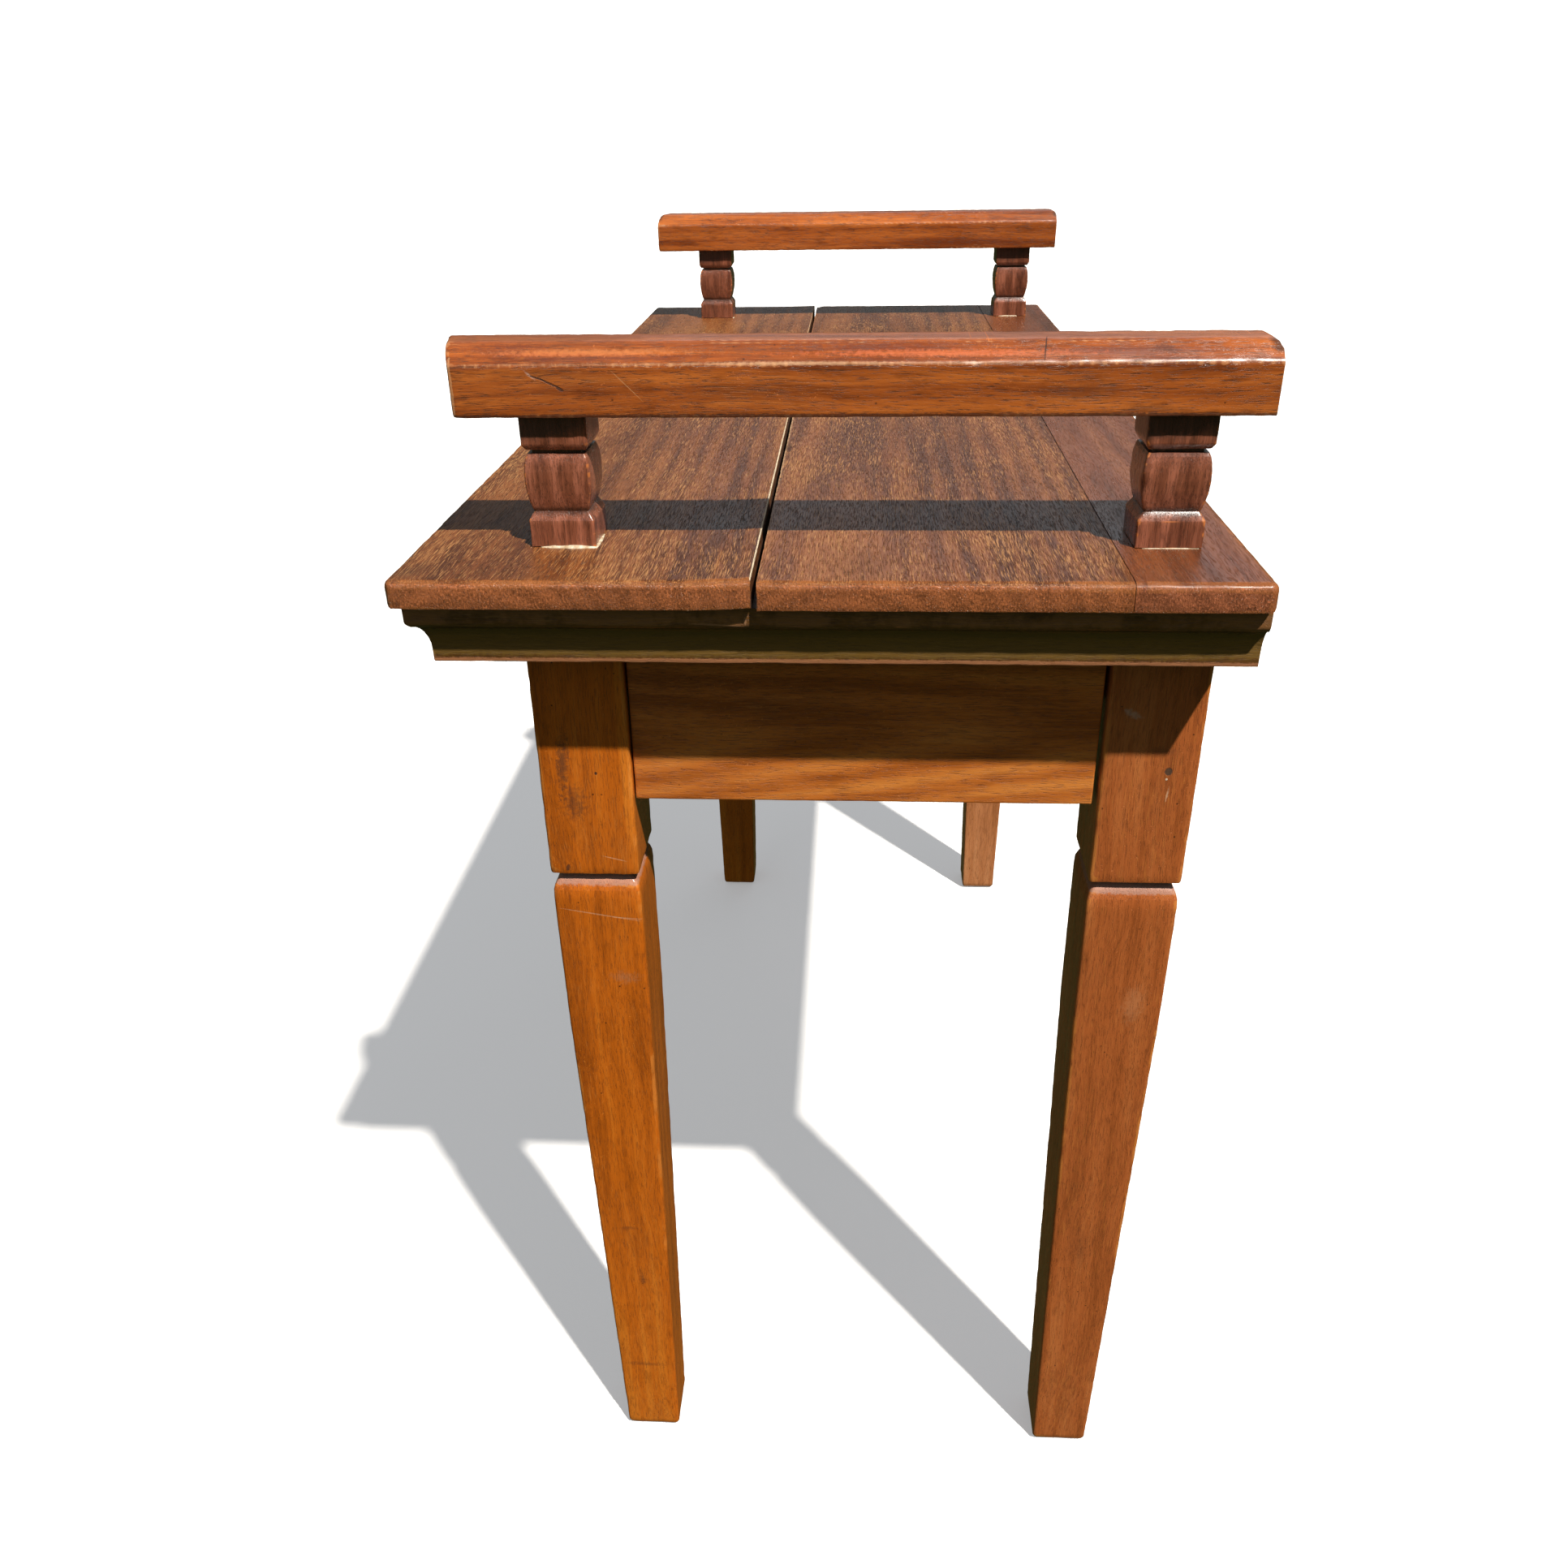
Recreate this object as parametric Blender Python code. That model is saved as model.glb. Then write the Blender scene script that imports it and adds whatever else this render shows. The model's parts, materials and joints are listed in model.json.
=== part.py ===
"""Sewing table: solid-board top with a gallery rail on two short posts at each end,
coved moulding under the top, deep aprons, four square tapered legs, one apron drawer.
Metres, +Z up. The long side is X, the user sits at the -Y side, the floor is z = 0."""

import math

import bmesh
import bpy
from mathutils import Vector

# Overall size
TOP_LENGTH = 1.014
TOP_DEPTH = 0.462
TOP_HEIGHT = 0.762
TOP_THICKNESS = 0.016
HALF_L = TOP_LENGTH / 2
HALF_D = TOP_DEPTH / 2
UNDERSIDE = TOP_HEIGHT - TOP_THICKNESS
GAP = 0.0003

# Boards of the top
SEAM_FRONT_Y = -0.0375
SEAM_BACK_Y = -0.0345
GLUE_LINE_Y = 0.1588
EDGE_ROUND = 0.0042
END_LOWER_ROUND = 0.0012
CUP_WIDTH = 0.045
CUP_RISE_RIGHT = 0.0016
CUP_RISE_LEFT = 0.0006

# Moulding under the top: inset from the top's edge, and depth below the top's face
MOULDING_FILLET_INSET = 0.0062
MOULDING_FILLET_BOTTOM = 0.0250
COVE_START = (0.0085, 0.0287)
COVE_END = (0.0163, 0.0450)
MOULDING_BOTTOM = 0.0520
MOULDING_BACK_INSET = 0.0558

# Legs
LEG_SIZE = 0.057
LEG_END_INSET = 0.0562
LEG_FRONT_INSET = 0.0560
LEG_BACK_INSET = 0.0105
LEG_X = HALF_L - LEG_END_INSET - LEG_SIZE / 2
FRONT_LEG_Y = -HALF_D + LEG_FRONT_INSET + LEG_SIZE / 2
BACK_LEG_Y = HALF_D - LEG_BACK_INSET - LEG_SIZE / 2
LEG_ARRIS = 0.0022
LEG_BOTTOM = 0.0030
FRONT_FOOT_SHIFT = 0.003
# height above the floor and half width, from the top of the leg down
LEG_PROFILE = (
    (UNDERSIDE - GAP, 0.0285),
    (0.5502, 0.0285),
    (0.5488, 0.0281),
    (0.5483, 0.0272),
    (0.5481, 0.0230),
    (0.5450, 0.0230),
    (0.5436, 0.0243),
    (0.5415, 0.0259),
    (0.5390, 0.0271),
    (0.5355, 0.0280),
    (0.5300, 0.0284),
    (0.4320, 0.0280),
    (0.3220, 0.0263),
    (0.2420, 0.0247),
    (0.1520, 0.0231),
    (0.0060, 0.0211),
    (LEG_BOTTOM, 0.0200),
)
GLIDE_RADIUS = 0.0080
NAIL_RADIUS = 0.0012
NAIL_TOP = 0.0140

# Aprons
APRON_THICKNESS = 0.020
APRON_SET_BACK = 0.0045
APRON_BOTTOM = TOP_HEIGHT - 0.161
APRON_TOP = UNDERSIDE - GAP
SHRINK_FRONT = 0.0008
SHRINK_BACK = 0.0024
FRONT_FACE_Y = FRONT_LEG_Y - LEG_SIZE / 2 + APRON_SET_BACK
BACK_FACE_Y = BACK_LEG_Y + LEG_SIZE / 2 - APRON_SET_BACK
END_FACE_X = LEG_X + LEG_SIZE / 2 - APRON_SET_BACK
FRONT_INNER_Y = FRONT_FACE_Y + APRON_THICKNESS
BACK_INNER_Y = BACK_FACE_Y - APRON_THICKNESS
END_INNER_X = END_FACE_X - APRON_THICKNESS
LEG_INNER_X = LEG_X - LEG_SIZE / 2
UPPER_RAIL_BOTTOM = 0.706
LOWER_RAIL_TOP = 0.621
ARRIS = 0.0012

# Corner blocks
BLOCK_NEAR = 0.036
BLOCK_FAR = 0.067
BLOCK_BOTTOM = 0.650
BLOCK_TOP = 0.700

# Posts and gallery rails
POST_SIZE = 0.0365
POST_END_INSET = 0.0587
POST_X = HALF_L - POST_END_INSET - POST_SIZE / 2
FRONT_POST_Y = -0.1464
BACK_POST_Y = 0.1864
POST_HEIGHT = 0.0717
POST_ARRIS = 0.0011
# height above the top's face and half width, from the foot up
POST_PROFILE = (
    (0.0003, 0.01825),
    (0.0148, 0.01825),
    (0.0156, 0.01790),
    (0.0193, 0.01560),
    (0.0197, 0.01520),
    (0.0215, 0.01595),
    (0.0250, 0.01685),
    (0.0300, 0.01775),
    (0.0360, 0.01825),
    (0.0415, 0.01815),
    (0.0460, 0.01765),
    (0.0495, 0.01690),
    (0.0514, 0.01610),
    (0.0517, 0.01380),
    (0.0531, 0.01380),
    (0.0535, 0.01660),
    (0.0562, 0.01810),
    (0.0570, 0.01825),
    (POST_HEIGHT, 0.01825),
)
RAIL_BOTTOM = 0.0720
RAIL_ARRIS_HEIGHT = 0.0993
RAIL_TOP = 0.1090
RAIL_WIDTH = 0.050
RAIL_BEVEL = 0.012
RAIL_FRONT_Y = -0.1975
RAIL_BACK_Y = 0.2310
RAIL_SKEW = 0.0115
RAIL_BACK_ROUND = 0.0052

# Dowels
DOWEL_RADIUS = 0.005
DOWEL_HOLE_RADIUS = 0.0053
FOOT_DOWEL = (-0.0115, 0.0135)
HEAD_DOWEL = (0.0580, 0.0870)

# Battens under the boards, and their screws
BATTEN_X = 0.255
BATTEN_WIDTH = 0.045
BATTEN_THICKNESS = 0.018
BATTEN_SCREW_Y = (-0.100, 0.030, 0.178)
SCREW_RADIUS = 0.0020
SCREW_HEAD_RADIUS = 0.0040
SCREW_LENGTH = 0.026

# Drawer
DRAWER_HALF_WIDTH = 0.200
DRAWER_CLEAR = 0.001
DRAWER_WALL = 0.010
DRAWER_BACK_Y = 0.150
DRAWER_SIDE_TOP = 0.7035
DRAWER_BOTTOM_Z = 0.6300
DRAWER_BOTTOM_THICKNESS = 0.005
KNOB_X = 0.100
KNOB_Z = (UPPER_RAIL_BOTTOM + LOWER_RAIL_TOP) / 2
KNOB_HOLE_RADIUS = 0.0048
RUNNER_WIDTH = 0.036
RUNNER_THICKNESS = 0.018
GUIDE_HEIGHT = 0.014
GUIDE_WIDTH = 0.012
KICKER_THICKNESS = 0.018
KICKER_WIDTH = 0.024
STOP_SIZE = (0.018, 0.014, 0.014)

CORNER_STEPS = 3
RING = 4 * (CORNER_STEPS + 1)


def clear_scene():
    for obj in list(bpy.data.objects):
        bpy.data.objects.remove(obj, do_unlink=True)


def material(name, colour, roughness, metallic=0.0):
    made = bpy.data.materials.new(name)
    made.use_nodes = True
    shader = made.node_tree.nodes["Principled BSDF"]
    shader.inputs["Base Color"].default_value = (*colour, 1.0)
    shader.inputs["Roughness"].default_value = roughness
    shader.inputs["Metallic"].default_value = metallic
    made.diffuse_color = (*colour, 1.0)
    return made


def place(name, mesh_data, finish):
    """Writes the bmesh to a named object with its own copy of the finish."""
    bmesh.ops.recalc_face_normals(mesh_data, faces=mesh_data.faces[:])
    mesh = bpy.data.meshes.new(name)
    mesh_data.to_mesh(mesh)
    mesh_data.free()
    obj = bpy.data.objects.new(name, mesh)
    bpy.context.scene.collection.objects.link(obj)
    colour, roughness, metallic = finish
    mesh.materials.append(material(name, colour, roughness, metallic))
    return obj


def loft(name, rings, finish):
    """A closed solid through rings of equal point count, with a flat cap at each end."""
    bm = bmesh.new()
    rows = [[bm.verts.new(point) for point in ring] for ring in rings]
    count = len(rows[0])
    for low, high in zip(rows, rows[1:]):
        for i in range(count):
            j = (i + 1) % count
            bm.faces.new((low[i], low[j], high[j], high[i]))
    bm.faces.new(rows[0])
    bm.faces.new(rows[-1])
    return place(name, bm, finish)


def square_ring(cx, cy, z, half, radius):
    points = []
    for k in range(4):
        ax = half - radius
        mid = math.pi / 4 + k * math.pi / 2
        corner = (math.copysign(ax, math.cos(mid)), math.copysign(ax, math.sin(mid)))
        for j in range(CORNER_STEPS + 1):
            angle = k * math.pi / 2 + j * math.pi / 2 / CORNER_STEPS
            x = cx + corner[0] + radius * math.cos(angle)
            y = cy + corner[1] + radius * math.sin(angle)
            points.append(Vector((x, y, z)))
    return points


def round_ring(cx, cy, z, radius, count=RING):
    points = []
    for i in range(count):
        angle = (i + 0.5) * 2 * math.pi / count
        points.append(Vector((cx + radius * math.cos(angle), cy + radius * math.sin(angle), z)))
    return points


def cutter(name, shapes):
    """Round cutting shapes, each a list of (z, radius) rings about one vertical axis."""
    bm = bmesh.new()
    for cx, cy, levels in shapes:
        rows = []
        for z, radius in levels:
            rows.append([bm.verts.new(p) for p in round_ring(cx, cy, z, radius)])
        for low, high in zip(rows, rows[1:]):
            for i in range(RING):
                j = (i + 1) % RING
                bm.faces.new((low[i], low[j], high[j], high[i]))
        bm.faces.new(rows[0])
        bm.faces.new(rows[-1])
    obj = place(name, bm, PLAIN)
    obj.hide_render = True
    obj.display_type = "WIRE"
    return obj


def cut(obj, tool):
    modifier = obj.modifiers.new("holes", "BOOLEAN")
    modifier.operation = "DIFFERENCE"
    modifier.solver = "EXACT"
    modifier.object = tool


def box_mesh(low, high):
    bm = bmesh.new()
    bmesh.ops.create_cube(bm, size=1.0)
    size = [b - a for a, b in zip(low, high)]
    centre = [(a + b) / 2 for a, b in zip(low, high)]
    bmesh.ops.scale(bm, vec=size, verts=bm.verts)
    bmesh.ops.translate(bm, vec=centre, verts=bm.verts)
    return bm


def soften(bm, edges, width, steps):
    bmesh.ops.bevel(
        bm,
        geom=edges,
        offset=width,
        offset_type="OFFSET",
        affect="EDGES",
        segments=steps,
        profile=0.5,
        material=-1,
    )


def bar(name, low, high, finish, arris=ARRIS, steps=2):
    """A straight piece of timber with eased arrises."""
    bm = box_mesh(low, high)
    if arris:
        soften(bm, bm.edges[:], arris, steps)
    return place(name, bm, finish)


# Finishes: colour, roughness, metallic
LEG_WOOD = ((0.33, 0.135, 0.040), 0.42, 0.0)
APRON_WOOD = ((0.29, 0.115, 0.035), 0.42, 0.0)
TOP_WOOD = ((0.27, 0.115, 0.045), 0.38, 0.0)
BACK_BOARD_WOOD = ((0.25, 0.090, 0.042), 0.34, 0.0)
MOULDING_WOOD = ((0.20, 0.082, 0.030), 0.45, 0.0)
RAIL_WOOD = ((0.40, 0.125, 0.032), 0.34, 0.0)
POST_WOOD = ((0.27, 0.085, 0.032), 0.38, 0.0)
INNER_WOOD = ((0.52, 0.34, 0.17), 0.70, 0.0)
STEEL = ((0.55, 0.54, 0.52), 0.35, 1.0)
PLAIN = ((0.5, 0.5, 0.5), 0.5, 0.0)


def leg(name, cx, cy, foot_shift):
    """Square leg: plain block, neck groove, rounded shoulder, long taper, nail hole in the foot."""
    rings = []
    for z, half in LEG_PROFILE:
        below = max(0.0, 0.53 - z) / 0.53
        radius = min(LEG_ARRIS, half * 0.2)
        rings.append(square_ring(cx, cy + foot_shift * below, z, half, radius))
    foot_y = cy + foot_shift * (0.53 - LEG_BOTTOM) / 0.53
    rings.append(round_ring(cx, foot_y, LEG_BOTTOM, NAIL_RADIUS + GAP))
    rings.append(round_ring(cx, foot_y, NAIL_TOP + 0.002, NAIL_RADIUS + GAP))
    return loft(name, rings, LEG_WOOD)


def foot_glide(name, cx, cy, foot_shift):
    """Domed nail glide under a leg."""
    y = cy + foot_shift * (0.53 - LEG_BOTTOM) / 0.53
    levels = (
        (0.0, 0.56),
        (0.0006, 0.84),
        (0.0015, 0.96),
        (LEG_BOTTOM - GAP, 1.0),
        (LEG_BOTTOM - GAP, NAIL_RADIUS / GLIDE_RADIUS),
        (NAIL_TOP, NAIL_RADIUS / GLIDE_RADIUS),
    )
    rings = [round_ring(cx, y, z, GLIDE_RADIUS * part) for z, part in levels]
    return loft(name, rings, STEEL)


def legs_and_glides():
    for side, sx in (("left", -1), ("right", 1)):
        for row, y, shift in (("front", FRONT_LEG_Y, FRONT_FOOT_SHIFT), ("back", BACK_LEG_Y, 0.0)):
            leg(f"{row}_{side}_leg", sx * LEG_X, y, shift)
            foot_glide(f"{row}_{side}_foot_glide", sx * LEG_X, y, shift)


def end_apron(side, sx):
    front = FRONT_LEG_Y + LEG_SIZE / 2 + SHRINK_FRONT
    back = BACK_LEG_Y - LEG_SIZE / 2 - SHRINK_BACK
    xs = sorted((sx * END_FACE_X, sx * END_INNER_X))
    bar(f"{side}_end_apron", (xs[0], front, APRON_BOTTOM), (xs[1], back, APRON_TOP), APRON_WOOD)


def long_aprons():
    half = LEG_INNER_X - GAP
    low = (-half, BACK_INNER_Y, APRON_BOTTOM)
    high = (half, BACK_FACE_Y, APRON_TOP)
    bar("back_apron", low, high, APRON_WOOD)
    low = (-half, FRONT_FACE_Y, UPPER_RAIL_BOTTOM)
    high = (half, FRONT_INNER_Y, APRON_TOP)
    bar("front_upper_rail", low, high, APRON_WOOD)
    low = (-half, FRONT_FACE_Y, APRON_BOTTOM)
    high = (half, FRONT_INNER_Y, LOWER_RAIL_TOP)
    bar("front_lower_rail", low, high, APRON_WOOD)
    for side, sx in (("left", -1), ("right", 1)):
        xs = sorted((sx * DRAWER_HALF_WIDTH, sx * half))
        low = (xs[0], FRONT_FACE_Y, LOWER_RAIL_TOP + GAP)
        high = (xs[1], FRONT_INNER_Y, UPPER_RAIL_BOTTOM - GAP)
        bar(f"front_{side}_panel", low, high, APRON_WOOD, arris=0.0008)


def corner_block(name, sx, sy):
    """Diagonal block from an end apron to the long rail beside it."""
    leg_x = LEG_INNER_X
    leg_y = FRONT_LEG_Y + LEG_SIZE / 2 if sy < 0 else BACK_LEG_Y - LEG_SIZE / 2
    end_x = END_INNER_X - GAP
    long_y = FRONT_INNER_Y + GAP if sy < 0 else BACK_INNER_Y - GAP
    plan = (
        (end_x, leg_y - sy * BLOCK_NEAR),
        (end_x, leg_y - sy * BLOCK_FAR),
        (leg_x - BLOCK_FAR, long_y),
        (leg_x - BLOCK_NEAR, long_y),
    )
    rings = []
    for z in (BLOCK_BOTTOM, BLOCK_TOP):
        rings.append([Vector((sx * x, y, z)) for x, y in plan])
    loft(name, rings, INNER_WOOD)


def moulding_section():
    """The outline as (inset from the top's edge, depth below the top's face)."""
    points = [
        (MOULDING_BACK_INSET, TOP_THICKNESS + GAP),
        (MOULDING_FILLET_INSET, TOP_THICKNESS + GAP),
        (MOULDING_FILLET_INSET, MOULDING_FILLET_BOTTOM),
        (MOULDING_FILLET_INSET + 0.0003, MOULDING_FILLET_BOTTOM + 0.0014),
        (MOULDING_FILLET_INSET + 0.0011, MOULDING_FILLET_BOTTOM + 0.0026),
    ]
    width = COVE_END[0] - COVE_START[0]
    height = COVE_END[1] - COVE_START[1]
    for k in range(7):
        angle = k / 6 * math.pi / 2
        inset = COVE_START[0] + width * math.sin(angle)
        depth = COVE_START[1] + height * (1 - math.cos(angle))
        points.append((inset, depth))
    points.append((0.0164, 0.0508))
    points.append((0.0168, 0.0516))
    points.append((0.0178, MOULDING_BOTTOM))
    points.append((MOULDING_BACK_INSET, MOULDING_BOTTOM))
    return points


def mouldings():
    section = moulding_section()
    rings = []
    for sx in (-1, 1):
        ring = []
        for inset, depth in section:
            ring.append(Vector((sx * (HALF_L - inset), -HALF_D + inset, TOP_HEIGHT - depth)))
        rings.append(ring)
    loft("front_moulding", rings, MOULDING_WOOD)
    mitre_gap = 0.0004
    for side, sx in (("left", -1), ("right", 1)):
        front = []
        back = []
        for inset, depth in section:
            x = sx * (HALF_L - inset)
            z = TOP_HEIGHT - depth
            front.append(Vector((x, -HALF_D + inset + mitre_gap, z)))
            back.append(Vector((x, HALF_D, z)))
        loft(f"{side}_end_moulding", [front, back], MOULDING_WOOD)


def edges_where(bm, test):
    return [edge for edge in bm.edges if test(edge.verts[0].co, edge.verts[1].co)]


def board_mesh(y0, y1, front_edge, back_edge):
    """A board with rounded ends; the outer long edges are rounded too, the joint edges are not."""
    bm = box_mesh((-HALF_L, y0, UNDERSIDE), (HALF_L, y1, TOP_HEIGHT))

    def outer(a, b):
        at_end = abs(abs(a.x) - HALF_L) < 1e-6 and abs(a.x - b.x) < 1e-6
        at_top = a.z > TOP_HEIGHT - 1e-6 and b.z > TOP_HEIGHT - 1e-6
        in_front = front_edge and abs(a.y - y0) < 1e-6 and abs(b.y - y0) < 1e-6
        behind = back_edge and abs(a.y - y1) < 1e-6 and abs(b.y - y1) < 1e-6
        return (at_end and at_top) or in_front or behind

    soften(bm, edges_where(bm, outer), EDGE_ROUND, 4)

    def lower_end(a, b):
        low = a.z < UNDERSIDE + 1e-6 and b.z < UNDERSIDE + 1e-6
        return low and abs(abs(a.x) - HALF_L) < 1e-6 and abs(a.x - b.x) < 1e-6

    soften(bm, edges_where(bm, lower_end), END_LOWER_ROUND, 2)
    return bm


def slice_board(bm, xs, ys):
    for value, normal in [(x, (1, 0, 0)) for x in xs] + [(y, (0, 1, 0)) for y in ys]:
        geometry = bm.verts[:] + bm.edges[:] + bm.faces[:]
        point = [value * part for part in normal]
        bmesh.ops.bisect_plane(bm, geom=geometry, plane_co=point, plane_no=normal)


def cup(bm):
    """Lifts the front board's joint edge a little, most at its right end."""
    start = SEAM_FRONT_Y - CUP_WIDTH
    for vert in bm.verts:
        if vert.co.y > start:
            part = (vert.co.y - start) / CUP_WIDTH
            along = (vert.co.x + HALF_L) / TOP_LENGTH
            rise = CUP_RISE_LEFT + (CUP_RISE_RIGHT - CUP_RISE_LEFT) * along
            vert.co.z += rise * part * part


def dowel_holes(y):
    depth = TOP_HEIGHT + FOOT_DOWEL[0] - 0.0007
    levels = ((depth, DOWEL_HOLE_RADIUS), (TOP_HEIGHT + 0.01, DOWEL_HOLE_RADIUS))
    return [(sx * POST_X, y, levels) for sx in (-1, 1)]


def screw_holes(y):
    top = UNDERSIDE - BATTEN_THICKNESS + SCREW_LENGTH + 0.0005
    levels = ((UNDERSIDE - 0.01, SCREW_RADIUS + GAP), (top, SCREW_RADIUS + GAP))
    return [(sx * BATTEN_X, y, levels) for sx in (-1, 1)]


def top_boards():
    bm = board_mesh(-HALF_D, SEAM_FRONT_Y, True, False)
    steps = [SEAM_FRONT_Y - CUP_WIDTH * k / 4 for k in (4, 3, 2, 1)]
    slice_board(bm, [-0.25, 0.0, 0.25], steps)
    cup(bm)
    front = place("front_top_board", bm, TOP_WOOD)
    holes = dowel_holes(FRONT_POST_Y) + screw_holes(BATTEN_SCREW_Y[0])
    cut(front, cutter("front_board_holes", holes))
    bm = board_mesh(SEAM_BACK_Y, GLUE_LINE_Y - GAP, False, False)
    middle = place("middle_top_board", bm, TOP_WOOD)
    cut(middle, cutter("middle_board_holes", screw_holes(BATTEN_SCREW_Y[1])))
    bm = board_mesh(GLUE_LINE_Y, HALF_D, False, True)
    back = place("back_top_board", bm, BACK_BOARD_WOOD)
    holes = dowel_holes(BACK_POST_Y) + screw_holes(BATTEN_SCREW_Y[2])
    cut(back, cutter("back_board_holes", holes))


def post(name, cx, cy):
    """Square post shaped alike on its four faces, with a dowel hole in each end."""
    hole = DOWEL_HOLE_RADIUS
    foot = TOP_HEIGHT + POST_PROFILE[0][0]
    head = TOP_HEIGHT + POST_HEIGHT
    rings = [round_ring(cx, cy, TOP_HEIGHT + FOOT_DOWEL[1] + 0.0007, hole)]
    rings.append(round_ring(cx, cy, foot, hole))
    for height, half in POST_PROFILE:
        rings.append(square_ring(cx, cy, TOP_HEIGHT + height, half, POST_ARRIS))
    rings.append(round_ring(cx, cy, head, hole))
    rings.append(round_ring(cx, cy, TOP_HEIGHT + HEAD_DOWEL[0] - 0.0007, hole))
    loft(name, rings, POST_WOOD)


def dowel(name, cx, cy, low, high):
    radius = DOWEL_RADIUS
    levels = (
        (low, radius - 0.0008),
        (low + 0.0008, radius),
        (high - 0.0008, radius),
        (high, radius - 0.0008),
    )
    rings = [round_ring(cx, cy, TOP_HEIGHT + z, r) for z, r in levels]
    loft(name, rings, INNER_WOOD)


def rail_outline(drop, shrink):
    """Half-rounded section as (offset across the rail, height above the top's face)."""
    half = RAIL_WIDTH / 2 - shrink
    low = RAIL_BOTTOM + shrink
    peak = RAIL_TOP - drop - shrink
    bevel = RAIL_BEVEL
    side = [
        (half - 0.0015, low),
        (half - 0.0004, low + 0.0004),
        (half, low + 0.0015),
        (half, RAIL_ARRIS_HEIGHT - 0.0012),
        (half - 0.0006, RAIL_ARRIS_HEIGHT + 0.0004),
        (half - bevel * 0.5, RAIL_ARRIS_HEIGHT + (RAIL_TOP - RAIL_ARRIS_HEIGHT) * 0.56),
        (half - bevel + 0.0010, RAIL_TOP - 0.0010),
        (half - bevel - 0.0016, RAIL_TOP),
    ]
    side = [(x, min(z, peak)) for x, z in side]
    return side + [(-x, z) for x, z in reversed(side)]


def rail_stations():
    """(y, drop of the top, shrink of the section) along the rail, front end to back end."""
    stations = [(RAIL_FRONT_Y, 0.0018, 0.0012), (RAIL_FRONT_Y + 0.0005, 0.0008, 0.0004)]
    stations.append((RAIL_FRONT_Y + 0.0018, 0.0, 0.0))
    start = RAIL_BACK_Y - RAIL_BACK_ROUND
    stations.append((start, 0.0, 0.0))
    for k in range(1, 6):
        angle = k / 6 * math.pi / 2
        drop = RAIL_BACK_ROUND * (1 - math.cos(angle)) * 0.9
        stations.append((start + RAIL_BACK_ROUND * math.sin(angle), drop, 0.0))
    stations.append((RAIL_BACK_Y - 0.0001, RAIL_BACK_ROUND * 0.88, 0.0008))
    return stations


def gallery_rail(side, sx):
    rings = []
    for y, drop, shrink in rail_stations():
        ring = []
        for across, height in rail_outline(drop, shrink):
            skew = 0.0
            if y < RAIL_FRONT_Y + 0.01:
                skew = -RAIL_SKEW * (0.5 - across / RAIL_WIDTH) * (y < 0)
            x = sx * (POST_X + across)
            ring.append(Vector((x, y + skew, TOP_HEIGHT + height)))
        rings.append(ring)
    rail = loft(f"{side}_gallery_rail", rings, RAIL_WOOD)
    low = TOP_HEIGHT + RAIL_BOTTOM - 0.01
    high = TOP_HEIGHT + HEAD_DOWEL[1] + 0.0007
    levels = ((low, DOWEL_HOLE_RADIUS), (high, DOWEL_HOLE_RADIUS))
    holes = [(sx * POST_X, y, levels) for y in (FRONT_POST_Y, BACK_POST_Y)]
    cut(rail, cutter(f"{side}_gallery_rail_holes", holes))


def galleries():
    for side, sx in (("left", -1), ("right", 1)):
        for row, y in (("front", FRONT_POST_Y), ("back", BACK_POST_Y)):
            post(f"{row}_{side}_post", sx * POST_X, y)
            dowel(f"{row}_{side}_post_foot_dowel", sx * POST_X, y, *FOOT_DOWEL)
            dowel(f"{row}_{side}_post_head_dowel", sx * POST_X, y, *HEAD_DOWEL)
        gallery_rail(side, sx)


def batten(side, sx):
    """Cross batten that holds the three boards together, with its three screws."""
    low = UNDERSIDE - GAP - BATTEN_THICKNESS
    start = (sx * BATTEN_X - BATTEN_WIDTH / 2, FRONT_INNER_Y + GAP, low)
    end = (sx * BATTEN_X + BATTEN_WIDTH / 2, BACK_INNER_Y - GAP, UNDERSIDE - GAP)
    made = bar(f"{side}_top_batten", start, end, INNER_WOOD)
    sink = SCREW_HEAD_RADIUS + 0.0004
    levels = (
        (low - 0.005, sink),
        (low + 0.0005, sink),
        (low + 0.0028, SCREW_RADIUS + 0.0005),
        (UNDERSIDE + 0.005, SCREW_RADIUS + 0.0005),
    )
    holes = [(sx * BATTEN_X, y, levels) for y in BATTEN_SCREW_Y]
    cut(made, cutter(f"{side}_batten_holes", holes))
    for row, y in zip(("front", "middle", "back"), BATTEN_SCREW_Y):
        batten_screw(f"{side}_batten_{row}_screw", sx * BATTEN_X, y, low + 0.0003)


def batten_screw(name, cx, cy, low):
    levels = (
        (low, SCREW_HEAD_RADIUS - 0.0002),
        (low + 0.0003, SCREW_HEAD_RADIUS),
        (low + 0.0024, SCREW_RADIUS),
        (low + SCREW_LENGTH - 0.004, SCREW_RADIUS),
        (low + SCREW_LENGTH - 0.0008, 0.0006),
    )
    loft(name, [round_ring(cx, cy, z, r) for z, r in levels], STEEL)


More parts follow.
